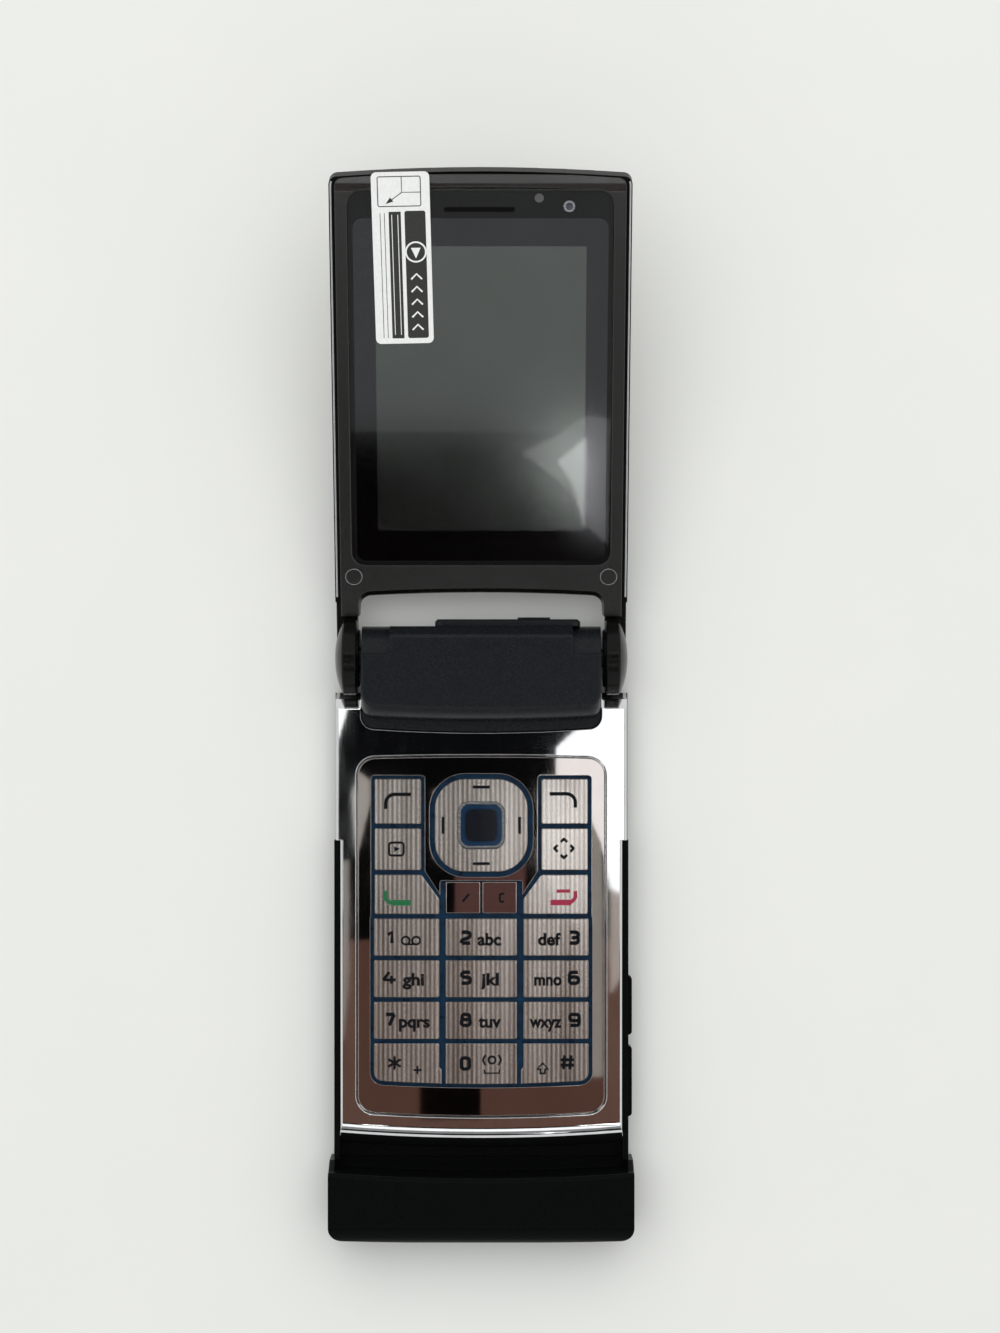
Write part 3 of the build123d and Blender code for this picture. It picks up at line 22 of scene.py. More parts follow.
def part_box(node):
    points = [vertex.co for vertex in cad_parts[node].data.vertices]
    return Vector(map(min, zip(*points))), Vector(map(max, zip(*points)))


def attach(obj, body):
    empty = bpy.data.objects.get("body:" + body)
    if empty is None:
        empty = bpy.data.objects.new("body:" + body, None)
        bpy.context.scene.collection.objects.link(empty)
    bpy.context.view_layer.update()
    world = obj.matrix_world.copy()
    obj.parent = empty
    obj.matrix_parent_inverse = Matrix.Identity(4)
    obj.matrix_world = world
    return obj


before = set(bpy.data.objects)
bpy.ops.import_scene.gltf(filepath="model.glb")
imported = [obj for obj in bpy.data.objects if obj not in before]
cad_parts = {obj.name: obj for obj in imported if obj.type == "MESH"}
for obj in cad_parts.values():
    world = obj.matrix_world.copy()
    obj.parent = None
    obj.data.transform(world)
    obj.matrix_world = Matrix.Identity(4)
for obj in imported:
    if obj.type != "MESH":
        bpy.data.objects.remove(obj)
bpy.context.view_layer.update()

Point = tuple[float, float]
MM = 0.001
HINGE_Z = 6.85
LID_TILT = 20.0
LID_PLACE = Matrix.Translation((0, 0, HINGE_Z * MM)) @ Matrix.Rotation(math.radians(LID_TILT), 4, "X")
PRINT_LIFT = 0.012
LOG = logging.getLogger("flip_phone")


# ---------------------------------------------------------------- colours, nodes and meshes


def linear(code: str) -> tuple[float, ...]:
    """Turn an sRGB hex colour to linear light.

    Args:
        code: The colour as "#rrggbb".

    Returns:
        Red, green, blue and an alpha of 1.
    """
    parts = [int(code[i:i + 2], 16) / 255 for i in (1, 3, 5)]
    return (*(c / 12.92 if c <= 0.04045 else ((c + 0.055) / 1.055) ** 2.4 for c in parts), 1.0)


def add_node(tree: NodeTree, kind: str, settings: Mapping[str, Any] | None = None,
             inputs: Mapping[str | int, Any] | None = None) -> Node:
    """Add a node with its settings, and with a value or a link at each input named.

    Args:
        tree: The shader or geometry tree.
        kind: The node's type name.
        settings: Its properties by name.
        inputs: Values, or the output sockets of other nodes, by input name or number.

    Returns:
        The new node.
    """
    node = tree.nodes.new(kind)
    for name, value in (settings or {}).items():
        setattr(node, name, value)
    for name, value in (inputs or {}).items():
        for one in value if isinstance(value, list) else [value]:
            if isinstance(one, NodeSocket):
                tree.links.new(one, node.inputs[name])
            else:
                node.inputs[name].default_value = one
    return node


def calc(tree: NodeTree, operation: str, *values: Any) -> NodeSocket:
    """Work out one sum in a tree.

    Args:
        tree: The shader or geometry tree.
        operation: The math node's operation.
        values: Its values or sockets in order.

    Returns:
        The result's socket.
    """
    return add_node(tree, "ShaderNodeMath", {"operation": operation}, dict(enumerate(values))).outputs[0]


def linked(name: str, data: bpy.types.ID) -> Object:
    """Put an object into the scene.

    Args:
        name: Its name.
        data: Its mesh, curve, lamp or camera.

    Returns:
        The new object.
    """
    made = bpy.data.objects.new(name, data)
    bpy.context.scene.collection.objects.link(made)
    return made


def plain_mesh(holder: Object) -> Mesh:
    """Take an object out of the scene and keep the mesh that it evaluates to.

    Args:
        holder: The object with its modifier, text or outline.

    Returns:
        The mesh.
    """
    graph = bpy.context.evaluated_depsgraph_get()
    mesh = bpy.data.meshes.new_from_object(holder.evaluated_get(graph), depsgraph=graph)
    holder.modifiers.clear()
    bpy.data.objects.remove(holder)
    return mesh


def new_piece(name: str, mesh: Mesh, body: str) -> None:
    """Put a mesh into the scene as a piece that rides on a body.

    Args:
        name: The piece's name.
        mesh: Its mesh, already in place.
        body: The body that it moves with.
    """
    mesh.name = name
    piece = linked(name, mesh)
    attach(piece, body)
    LOG.info("%s: %d faces on %s", name, len(mesh.polygons), body)


def joined(name: str, meshes: Iterable[Mesh]) -> Mesh:
    """Join meshes that are already in place into one.

    Args:
        name: The new mesh's name.
        meshes: The meshes, each in the last of its materials, since a primitive brings an empty slot before it.

    Returns:
        The joined mesh.
    """
    whole = bmesh.new()
    finishes: list[Material] = []
    for mesh in meshes:
        finish = mesh.materials[-1]
        if finish not in finishes:
            finishes.append(finish)
        before = len(whole.faces)
        whole.from_mesh(mesh)
        whole.faces.ensure_lookup_table()
        for face in whole.faces[before:]:
            face.material_index = finishes.index(finish)
    result = bpy.data.meshes.new(name)
    whole.to_mesh(result)
    whole.free()
    for finish in finishes:
        result.materials.append(finish)
    return result


def inked(mesh: Mesh, finish: Material) -> Mesh:
    """Give a mesh one finish.

    Args:
        mesh: The mesh.
        finish: Its material.

    Returns:
        The same mesh.
    """
    mesh.materials.clear()
    mesh.materials.append(finish)
    return mesh


def face_up(mesh: Mesh) -> Mesh:
    """Turn a flat mesh over where it faces down.

    Args:
        mesh: The flat mesh.

    Returns:
        The same mesh.
    """
    if sum(p.normal.z * p.area for p in mesh.polygons) < 0:
        mesh.flip_normals()
    return mesh


def filled(outline: Sequence[Point], height: float) -> Mesh:
    """Make a flat sheet of one face.

    Args:
        outline: Its corners in millimetres, anticlockwise where it faces +Z.
        height: Its z.

    Returns:
        The sheet in metres.
    """
    mesh = bpy.data.meshes.new("sheet")
    mesh.from_pydata([(x * MM, y * MM, height * MM) for x, y in outline], [], [range(len(outline))])
    return mesh


def cut_sheet(outlines: Iterable[Sequence[Point]], height: float) -> Mesh:
    """Make a flat sheet whose later outlines are openings in the first.

    Args:
        outlines: Closed outlines in millimetres.
        height: The sheet's z.

    Returns:
        The sheet, facing +Z, in metres.
    """
    curve = bpy.data.curves.new("sheet", "CURVE")
    curve.dimensions = "2D"
    curve.fill_mode = "BOTH"
    for outline in outlines:
        line = curve.splines.new("POLY")
        line.points.add(len(outline) - 1)
        for point, (x, y) in zip(line.points, outline):
            point.co = (x, y, 0, 1)
        line.use_cyclic_u = True
    mesh = face_up(plain_mesh(linked("sheet", curve)))
    bpy.data.curves.remove(curve)
    mesh.transform(Matrix.Translation((0, 0, height * MM)) @ Matrix.Scale(MM, 4))
    return mesh


def text_mesh(text: str, weight: float) -> Mesh:
    """Make a flat mesh of a word, one unit high in its type size, about its own origin.

    Args:
        text: The word.
        weight: How far each stroke is widened, as a share of the type size.

    Returns:
        The mesh, facing +Z.
    """
    curve = bpy.data.curves.new("legend", "FONT")
    curve.body = text
    curve.size = 1.0
    curve.offset = weight
    curve.resolution_u = 4
    mesh = plain_mesh(linked("legend", curve))
    bpy.data.curves.remove(curve)
    return mesh


def corners(path: str) -> list[Point]:
    """Read a path written as "x,y x,y".

    Args:
        path: The points in millimetres.

    Returns:
        The points.
    """
    return [(float(x), float(y)) for x, y in (point.split(",") for point in path.split())]


def block(left: float, right: float, low: float, high: float) -> list[Point]:
    """The corners of a rectangle, anticlockwise.

    Args:
        left: Its left edge.
        right: Its right edge.
        low: Its lower edge.
        high: Its upper edge.

    Returns:
        The points.
    """
    return [(left, low), (right, low), (right, high), (left, high)]


def rounded(x: Point, y: Point, radius: float, steps: int = 8) -> list[Point]:
    """The corners of a rounded rectangle, anticlockwise from its right side.

    Args:
        x: Its left and right edge.
        y: Its lower and upper edge.
        radius: Its corner radius.
        steps: Points in each corner.

    Returns:
        The points.
    """
    centres = block(x[1] - radius, x[0] + radius, y[1] - radius, y[0] + radius)
    points = []
    for quarter, (cx, cy) in enumerate(centres):
        for i in range(steps):
            angle = math.radians(90 * quarter + 90 * i / (steps - 1))
            points.append((cx + radius * math.cos(angle), cy + radius * math.sin(angle)))
    return points


def circle(x: float, y: float, radius: float, steps: int = 32) -> list[Point]:
    """The points of a circle, anticlockwise.

    Args:
        x: Its centre's x.
        y: Its centre's y.
        radius: Its radius.
        steps: How many points it has.

    Returns:
        The points.
    """
    return [(x + radius * math.cos(math.tau * i / steps), y + radius * math.sin(math.tau * i / steps))
            for i in range(steps)]


# ---------------------------------------------------------------- geometry trees


class Stamp(Enum):
    """The flat mark or small form that a pattern repeats."""

    BAR = "bar"
    CROSS = "cross"
    DOME = "dome"


@dataclass
class PatternTree:
    """A Geometry Nodes tree that is run over points or along a path and leaves a plain mesh."""

    name: str
    tree: NodeTree = field(init=False)
    sizes: ClassVar[tuple[str, ...]] = ()

    def __post_init__(self) -> None:
        """Name the tree's inputs, and end its shape in real geometry with its finish."""
        self.tree = bpy.data.node_groups.new(self.name, "GeometryNodeTree")
        kinds = {"Geometry": "Geometry", **dict.fromkeys(self.sizes, "Float"), "Finish": "Material"}
        for name, kind in kinds.items():
            self.tree.interface.new_socket(name, in_out="INPUT", socket_type=f"NodeSocket{kind}")
        self.tree.interface.new_socket("Geometry", in_out="OUTPUT", socket_type="NodeSocketGeometry")
        given = add_node(self.tree, "NodeGroupInput").outputs
        real = self.add("RealizeInstances", {"Geometry": self.shape(given)})
        painted = self.add("SetMaterial", {"Geometry": real, "Material": given["Finish"]})
        add_node(self.tree, "NodeGroupOutput", inputs={"Geometry": painted})

    def shape(self, given: Mapping[str, NodeSocket]) -> NodeSocket:
        """The geometry as it is given.

        Args:
            given: The tree's inputs by name.

        Returns:
            The geometry's socket.
        """
        return given["Geometry"]

    def add(self, kind: str, inputs: Mapping[str, Any], settings: Mapping[str, Any] | None = None) -> NodeSocket:
        """Add a geometry node.

        Args:
            kind: Its type name without the prefix.
            inputs: Its values and links by name.
            settings: Its properties by name.

        Returns:
            Its first output.
        """
        return add_node(self.tree, f"GeometryNode{kind}", settings, inputs).outputs[0]

    def run(self, points: Sequence[Iterable[float]], values: Mapping[str, Any], path: bool = False,
            closed: bool = False) -> Mesh:
        """Run the tree.

        Args:
            points: The points that the pattern stands on or follows, in millimetres.
            values: The value of each named input, in metres and radians.
            path: Whether edges join the points in turn.
            closed: Whether the last of them also meets the first.

        Returns:
            The result as a plain mesh.
        """
        last = len(points) - 1
        edges = [(i, i + 1) for i in range(last)] + [(last, 0)] * closed if path else []
        base = bpy.data.meshes.new("base")
        base.from_pydata([[c * MM for c in point] for point in points], edges, [])
        holder = linked("pattern", base)
        modifier = holder.modifiers.new("pattern", "NODES")
        modifier.node_group = self.tree
        for item in self.tree.interface.items_tree:
            if item.in_out == "INPUT" and item.name in values:
                modifier[item.identifier] = values[item.name]
        holder.update_tag()
        return plain_mesh(holder)


@dataclass
class StrokeTree(PatternTree):
    """A flat printed stroke of even width along a path, with rounded turns."""

    sizes: ClassVar[tuple[str, ...]] = ("Width", "Radius")
    turn_steps: ClassVar[int] = 8

    def shape(self, given: Mapping[str, NodeSocket]) -> NodeSocket:
        """Turn the path to a curve, round it and sweep a flat line along it.

        Args:
            given: The tree's inputs by name.

        Returns:
            The stroke's socket.
        """
        curve = self.add("MeshToCurve", {"Mesh": given["Geometry"]})
        turned = self.add("FilletCurve", {"Curve": curve, "Count": self.turn_steps, "Radius": given["Radius"],
                                          "Limit Radius": True}, {"mode": "POLY"})
        upright = self.add("SetCurveNormal", {"Curve": turned}, {"mode": "Z_UP"})
        ends = {}
        for end, share in (("Start", -0.5), ("End", 0.5)):
            side = calc(self.tree, "MULTIPLY", given["Width"], share)
            ends[end] = add_node(self.tree, "ShaderNodeCombineXYZ", inputs={"X": side}).outputs[0]
        return self.add("CurveToMesh", {"Curve": upright, "Profile Curve": self.add("CurvePrimitiveLine", ends)})

    def draw(self, points: Sequence[Point], height: float, width: float, finish: Material,
             radius: float = 0.0, closed: bool = False) -> Mesh:
        """Draw one stroke.

        Args:
            points: The path's corners in millimetres.
            height: The stroke's z.
            width: Its width.
            finish: Its ink.
            radius: The radius of its turns.
            closed: Whether the path returns to its start.

        Returns:
            The stroke as a flat mesh that faces +Z.
        """
        values = {"Width": width * MM, "Radius": radius * MM, "Finish": finish}
        return face_up(self.run([(x, y, height) for x, y in points], values, True, closed))


@dataclass
class BeadTree(PatternTree):
    """A thin round bead along a path."""

    sizes: ClassVar[tuple[str, ...]] = ("Radius",)
    sides: ClassVar[int] = 8
    weld: ClassVar[float] = 1e-7

    def shape(self, given: Mapping[str, NodeSocket]) -> NodeSocket:
        """Turn the path to a curve and sweep a circle along it.

        Args:
            given: The tree's inputs by name.

        Returns:
            The bead's socket.
        """
        curve = self.add("MeshToCurve", {"Mesh": given["Geometry"]})
        ring = self.add("CurvePrimitiveCircle", {"Resolution": self.sides, "Radius": given["Radius"]})
        swept = self.add("CurveToMesh", {"Curve": curve, "Profile Curve": ring, "Fill Caps": True})
        return self.add("SetShadeSmooth", {"Geometry": swept})

    def lay(self, points: Sequence[Point], height: float, radius: float, finish: Material,
            closed: bool = False) -> Mesh:
        """Lay one bead.

        Args:
            points: The path in millimetres.
            height: Its z.
            radius: The bead's radius.
            finish: Its material.
            closed: Whether the path returns to its start.

        Returns:
            The bead, with its faces pointing outwards.
        """
        values = {"Radius": radius * MM, "Finish": finish}
        mesh = self.run([(x, y, height) for x, y in points], values, True, closed)
        shape = bmesh.new()
        shape.from_mesh(mesh)
        bmesh.ops.remove_doubles(shape, verts=shape.verts, dist=self.weld)
        bmesh.ops.recalc_face_normals(shape, faces=shape.faces)
        shape.to_mesh(mesh)
        shape.free()
        return mesh


@dataclass
class StampTree(PatternTree):
    """A small mark repeated on points, turned by one angle at each step along the row."""

    stamp: Stamp = Stamp.BAR
    sizes: ClassVar[tuple[str, ...]] = ("Length", "Width", "Turn", "Tilt")
    overlap: ClassVar[float] = 0.002
    ball: ClassVar[tuple[int, int]] = (16, 8)

    def shape(self, given: Mapping[str, NodeSocket]) -> NodeSocket:
        """Make the stamp and place it on every point.

        Args:
            given: The tree's inputs by name.

        Returns:
            The stamps' socket.
        """
        tree, length, width = self.tree, given["Length"], given["Width"]
        if self.stamp is Stamp.DOME:
            segments, rings = self.ball
            ball = self.add("MeshUVSphere", {"Segments": segments, "Rings": rings,
                                             "Radius": calc(tree, "MULTIPLY", length, 0.5)})
            flat = add_node(tree, "ShaderNodeCombineXYZ",
                            inputs={"X": 1.0, "Y": 1.0, "Z": calc(tree, "DIVIDE", width, length)})
            mark = self.add("Transform", {"Geometry": ball, "Scale": flat.outputs[0]})
        else:
            mark = self.add("MeshGrid", {"Size X": length, "Size Y": width, "Vertices X": 2, "Vertices Y": 2})
        if self.stamp is Stamp.CROSS:
            across = self.add("Transform", {"Geometry": mark, "Rotation": (0, 0, math.pi / 2),
                                            "Translation": (0, 0, self.overlap * MM)})
            mark = self.add("JoinGeometry", {"Geometry": [mark, across]})
        index = add_node(tree, "GeometryNodeInputIndex").outputs[0]
        turn = add_node(tree, "ShaderNodeCombineXYZ",
                        inputs={"X": given["Tilt"], "Z": calc(tree, "MULTIPLY", index, given["Turn"])})
        return self.add("InstanceOnPoints", {"Points": given["Geometry"], "Instance": mark,
                                             "Rotation": turn.outputs[0]})

    def press(self, points: Sequence[Iterable[float]], length: float, width: float, finish: Material,
              turn: float = 0.0, tilt: float = 0.0) -> Mesh:
        """Repeat the stamp on points in millimetres.

        Args:
            points: Where each stamp goes.
            length: Its length or diameter.
            width: Its width or height.
            finish: Its material.
            turn: The turn added at each step, in degrees.
            tilt: The turn of all stamps about X, in degrees.

        Returns:
            The stamps as one mesh.
        """
        return self.run(points, {"Length": length * MM, "Width": width * MM, "Turn": math.radians(turn),
                                 "Tilt": math.radians(tilt), "Finish": finish})


# ---------------------------------------------------------------- finishes


class Grain(Enum):
    """How a finish varies over its surface."""

    CLOUD = "cloud"
    BRUSHED = "brushed"
    FLAKE = "flake"
    WEAVE = "weave"


ONE_WAVE = 0.31416
SMOOTHEST = 0.01


def texture(tree: NodeTree, kind: str, place: NodeSocket, across: str = "", **inputs: float) -> NodeSocket:
    """Add a grey texture.

    Args:
        tree: The material's tree.
        kind: Noise or Wave.
        place: Its coordinates.
        across: The axis that the stripes of a wave stand across.
        inputs: Its numbers by name, with _ for a blank.

    Returns:
        The texture's value.
    """
    settings = {"bands_direction": across} if across else {}
    given = {name.replace("_", " "): value for name, value in inputs.items()}
    return add_node(tree, f"ShaderNodeTex{kind}", settings, {"Vector": place, **given}).outputs["Fac"]


def blend(tree: NodeTree, factor: NodeSocket, first: Any, second: Any) -> NodeSocket:
    """Mix two colours.

    Args:
        tree: The material's tree.
        factor: How much of the second shows.
        first: The first colour or its socket.
        second: The second colour or its socket.

    Returns:
        The colour's socket.
    """
    return add_node(tree, "ShaderNodeMix", {"data_type": "RGBA"}, {0: factor, 6: first, 7: second}).outputs[2]


@dataclass(frozen=True)
class Finish:
    """A real surface: two sRGB colours that its grain mixes, the numbers of its gloss and its edges' radius."""

    name: str
    dark: str
    light: str
    repeat: float | tuple[float, float, float] = 1.2
    grain: Grain = Grain.CLOUD
    contrast: float = 0.5
    roughness: float = 0.4
    spread: float = 0.05
    relief: float = 0.002
    metallic: float = 0.0
    coat: float = 0.0
    coat_roughness: float = 0.05
    transmission: float = 0.0
    specular: float = 0.5
    smear: float = 9.0
    edge: float = 0.0

    def place(self, tree: NodeTree) -> NodeSocket:
        """The object's own coordinates, scaled so that one unit is one repeat of the grain.

        Args:
            tree: The material's tree.

        Returns:
            The coordinates' socket.
        """
        own = add_node(tree, "ShaderNodeTexCoord").outputs["Object"]
        sizes = self.repeat if isinstance(self.repeat, tuple) else (self.repeat,) * 3
        return add_node(tree, "ShaderNodeMapping",
                        inputs={"Vector": own, "Scale": tuple(1 / (s * MM) for s in sizes)}).outputs[0]

    def factor(self, tree: NodeTree, place: NodeSocket) -> NodeSocket:
        """The grain as a value from 0 to 1.

        Args:
            tree: The material's tree.
            place: The scaled coordinates.

        Returns:
            The value's socket.
        """
        reach = 0.5 * (1 - self.contrast / 2)
        if self.grain is Grain.FLAKE:
            cells = add_node(tree, "ShaderNodeTexVoronoi", {"feature": "F1"}, {"Vector": place, "Scale": 1.0})
            raw = add_node(tree, "ShaderNodeSeparateColor", inputs={"Color": cells.outputs["Color"]}).outputs[0]
            reach = 0.5
        elif self.grain is Grain.WEAVE:
            raw = calc(tree, "MAXIMUM", *(texture(tree, "Wave", place, axis, Scale=ONE_WAVE, Distortion=0.3)
                                          for axis in "XY"))
        else:
            detail = 6.0 if self.grain is Grain.BRUSHED else 3.0
            raw = texture(tree, "Noise", place, Scale=1.0, Detail=detail, Roughness=0.6)
        return add_node(tree, "ShaderNodeMapRange", {"interpolation_type": "SMOOTHSTEP"},
                        {"Value": raw, "From Min": 0.5 - reach, "From Max": 0.5 + reach}).outputs[0]

    def colour(self, tree: NodeTree, factor: NodeSocket) -> NodeSocket:
        """The two colours mixed by the grain.

        Args:
            tree: The material's tree.
            factor: The grain's value.

        Returns:
            The colour's socket.
        """
        return blend(tree, factor, linear(self.dark), linear(self.light))

    def material(self) -> Material:
        """Build the material.

        Returns:
            The material, with colour, roughness and relief from its nodes.
        """
        made = bpy.data.materials.new(self.name)
        made.use_nodes = True
        tree = made.node_tree
        tree.nodes.clear()
        factor = self.factor(tree, self.place(tree))
        own = add_node(tree, "ShaderNodeTexCoord").outputs["Object"]
        smears = texture(tree, "Noise", own, Scale=1 / (self.smear * MM), Detail=4.0)
        rough = add_node(tree, "ShaderNodeMapRange",
                         inputs={"Value": calc(tree, "ADD", factor, smears), "From Min": 0.3, "From Max": 1.7,
                                 "To Min": max(self.roughness - self.spread, SMOOTHEST),
                                 "To Max": self.roughness + self.spread})
        relief = add_node(tree, "ShaderNodeBump",
                          inputs={"Strength": 1.0, "Distance": self.relief * MM, "Height": factor})
        if self.edge:
            soft = add_node(tree, "ShaderNodeBevel", {"samples": 6}, {"Radius": self.edge * MM})
            tree.links.new(soft.outputs[0], relief.inputs["Normal"])
        shader = add_node(tree, "ShaderNodeBsdfPrincipled",
                          inputs={"Base Color": self.colour(tree, factor), "Roughness": rough.outputs[0],
                                  "Normal": relief.outputs[0], "Metallic": self.metallic, "IOR": 1.5,
                                  "Specular IOR Level": self.specular, "Coat Weight": self.coat,
                                  "Coat Roughness": self.coat_roughness, "Transmission Weight": self.transmission})
        add_node(tree, "ShaderNodeOutputMaterial", inputs={"Surface": shader.outputs[0]})
        return made


@dataclass(frozen=True)
class BorderedFinish(Finish):
    """A finish with a rounded field of its own grain inside a border of another colour."""

    border: str = "#0d2b47"
    centre: Point = (0.0, 0.0)
    half: float = 2.75
    soft: float = 0.35
    squareness: float = 5.0

    def colour(self, tree: NodeTree, factor: NodeSocket) -> NodeSocket:
        """The grain's colour inside, and the border's colour outside.

        Args:
            tree: The material's tree.
            factor: The grain's value.

        Returns:
            The colour's socket.
        """
        own = add_node(tree, "ShaderNodeTexCoord").outputs["Object"]
        centred = add_node(tree, "ShaderNodeMapping",
                           inputs={"Vector": own, "Scale": (1 / (self.half * MM),) * 3,
                                   "Location": (-self.centre[0] / self.half, -self.centre[1] / self.half, 0.0)})
        parts = add_node(tree, "ShaderNodeSeparateXYZ", inputs={"Vector": centred.outputs[0]}).outputs
        reach = calc(tree, "ADD", *(calc(tree, "POWER", calc(tree, "ABSOLUTE", parts[axis]), self.squareness)
                                    for axis in "XY"))
        edge = add_node(tree, "ShaderNodeMapRange", {"interpolation_type": "SMOOTHSTEP"},
                        {"Value": reach, "From Min": 1 - self.soft, "From Max": 1 + 2 * self.soft}).outputs[0]
        return blend(tree, edge, super().colour(tree, factor), linear(self.border))


@dataclass(frozen=True)
class StripedFinish(Finish):
    """A finish drawn in fine even stripes that run along Y, broken by narrow and broad streaks."""

    stripe: float = 0.52
    streak: float = 0.55
    broad: float = 3.1

    def factor(self, tree: NodeTree, place: NodeSocket) -> NodeSocket:
        """Stripes as wide as the repeat, mixed with streaks.

        Args:
            tree: The material's tree.
            place: The scaled coordinates.

        Returns:
            The value's socket.
        """
        stripes = texture(tree, "Wave", place, "X", Scale=ONE_WAVE, Distortion=0.6, Detail=1.0, Detail_Scale=0.2)
        mixed = calc(tree, "MULTIPLY_ADD", stripes, self.stripe, -self.stripe)
        streaks = texture(tree, "Noise", place, Scale=1.9, Detail=3.0)
        broad = texture(tree, "Noise", place, Scale=self.repeat[0] / self.broad, Detail=2.0)
        for value, share in ((streaks, self.streak), (broad, 1.0)):
            mixed = calc(tree, "MULTIPLY_ADD", value, share, mixed)
        return add_node(tree, "ShaderNodeMapRange", inputs={"Value": mixed}).outputs[0]


# Polycarbonate sprayed with soft-touch lacquer: near black and even, a wide dull highlight. Its tooth is drawn
# coarser than it is.
SOFT_TOUCH = Finish("soft_touch_lacquer_on_polycarbonate", "#040505", "#0a0b0b", 0.35, contrast=0.8,
                    roughness=0.3, spread=0.06, relief=0.001, specular=0.04, edge=0.3)
# Polycarbonate with satin metallic paint: bluish black with pale flakes, a soft narrow highlight. The flakes are
# drawn coarser than they are.
SATIN_BARREL = Finish("satin_metallic_paint_on_barrel", "#121417", "#1d2023", 0.12, Grain.FLAKE,
                      roughness=0.24, relief=0.0002, specular=0.14, edge=0.2)
# The same paint in a warm brown black, as it is round the screen.
SATIN_BEZEL = replace(SATIN_BARREL, name="satin_metallic_paint_on_bezel", dark="#0d0c0b", light="#161412",
                      roughness=0.19, spread=0.04, specular=0.7, edge=0.3)
# The same paint, thinner and duller, on the lid's outer shell.
SATIN_SHELL = replace(SATIN_BARREL, name="satin_metallic_paint_on_lid_shell", dark="#0b0a0a", light="#131211",
                      roughness=0.3, specular=0.03)
# Stove enamel on cast magnesium, as on the knuckles and arms: smooth, black and softly glossy.
BLACK_ENAMEL = Finish("satin_black_enamel_on_cast_magnesium", "#080808", "#100f0e", 0.5, contrast=0.7,
                      roughness=0.2, spread=0.04, relief=0.0006, specular=0.12, edge=0.3)
# Steel with a black oxide skin: dark, slightly blue, oiled, its drawing lines coarser than real ones.
BLACK_STEEL = Finish("black_oxide_steel", "#1b1c1e", "#2a2b2d", (1.0, 0.2, 0.2), Grain.BRUSHED, contrast=0.8,
                     roughness=0.32, spread=0.06, relief=0.001, metallic=0.8)
# Magnesium alloy, thixotropically cast and chromated: dull grey with a faint cloudy bloom.
MAGNESIUM = Finish("cast_magnesium_alloy", "#6c6d6c", "#8e8f8d", 2.4, contrast=0.6, roughness=0.5,
                   spread=0.1, relief=0.012, metallic=1.0)
# Chromium plated over ABS: a clear mirror, with faint wiping marks that only soften the highlight.
CHROME = Finish("bright_chromium_plating_on_abs", "#c6c7c8", "#d6d7d8", (3.0, 14.0, 3.0), roughness=0.018,
                spread=0.02, relief=0.0002, metallic=1.0, edge=0.14)
# Vacuum-metallised acrylic under a smoked hard coat: a dark mirror.
SMOKED_MIRROR = Finish("smoked_vacuum_metallised_acrylic", "#afa9a6", "#b6b1ae", 6.0, contrast=0.4,
                       roughness=0.018, spread=0.01, relief=0.0002, metallic=1.0, edge=0.1)
# Brushed aluminium foil in-moulded under clear acrylic: upright silver and champagne streaks in a glossy skin,
# drawn coarser than real brushing so that they show at this size.
KEY_FOIL = StripedFinish("brushed_foil_under_clear_acrylic", "#6f655d", "#d2cdc8", (0.8, 40.0, 40.0),
                         roughness=0.15, spread=0.03, relief=0.0002, metallic=0.8, coat=0.5, coat_roughness=0.03)
# Deep blue tinted acrylic, moulded, with a lit-through margin: glossy and almost black at its centre.
SELECT_ACRYLIC = BorderedFinish("moulded_deep_blue_acrylic", "#070a11", "#0b111a", 1.6, roughness=0.1,
                                spread=0.03, relief=0.001, specular=0.25, coat=0.1, centre=(0.0, -28.65))
# Silicone light guide film, cast and dyed blue: waxy and deep.
LIGHT_FILM = Finish("dyed_silicone_light_guide_film", "#051c30", "#093350", 1.8, roughness=0.3, spread=0.08,
                    specular=0.15)
# Glass-filled polyamide, moulded: flat black with a spark-eroded tooth, coarser than a real one.
INNER_PLASTIC = Finish("moulded_glass_filled_polyamide", "#161616", "#232323", 0.3, contrast=0.9,
                       roughness=0.55, spread=0.08, relief=0.006)
# Stainless steel strip, rolled and pressed: cool grey with rolling lines, coarser than real ones.
STEEL = Finish("rolled_stainless_steel", "#8d9092", "#b4b7b9", (4.0, 0.12, 0.12), Grain.BRUSHED, contrast=1.0,
               roughness=0.26, spread=0.07, relief=0.0015, metallic=1.0)
# Sintered bronze, oil filled: warm brown metal with open pores, larger than real ones.
BRONZE = Finish("sintered_oil_filled_bronze", "#7c5a33", "#a97f4d", 0.22, contrast=1.0, spread=0.08,
                relief=0.004, metallic=1.0)
# Epoxy glass laminate under green solder mask: a fine square weave shows through the gloss.
SOLDER_MASK = Finish("solder_mask_on_epoxy_glass_laminate", "#0d3b26", "#15573a", 0.5, Grain.WEAVE,
                     contrast=0.6, roughness=0.28, relief=0.003, coat=0.4)
# Drawn aluminium battery can in a heat-shrunk polyester sleeve: pale grey, slightly wrinkled.
BATTERY_SLEEVE = Finish("polyester_sleeve_on_aluminium_can", "#3b3e42", "#54585d", 3.0, contrast=0.6,
                        roughness=0.33, spread=0.07, relief=0.02, coat=0.3)
# Chemically strengthened float glass: clear and hard.
GLASS = Finish("strengthened_float_glass", "#f4f7f6", "#ffffff", 8.0, roughness=0.02, spread=0.01,
               relief=0.0001, transmission=1.0)
# Grey tinted acrylic window, moulded and polished: nearly black gloss.
DARK_WINDOW = Finish("polished_tinted_acrylic_window", "#050607", "#0c0e10", 2.0, roughness=0.06,
                     spread=0.02, relief=0.0004, coat=0.5)
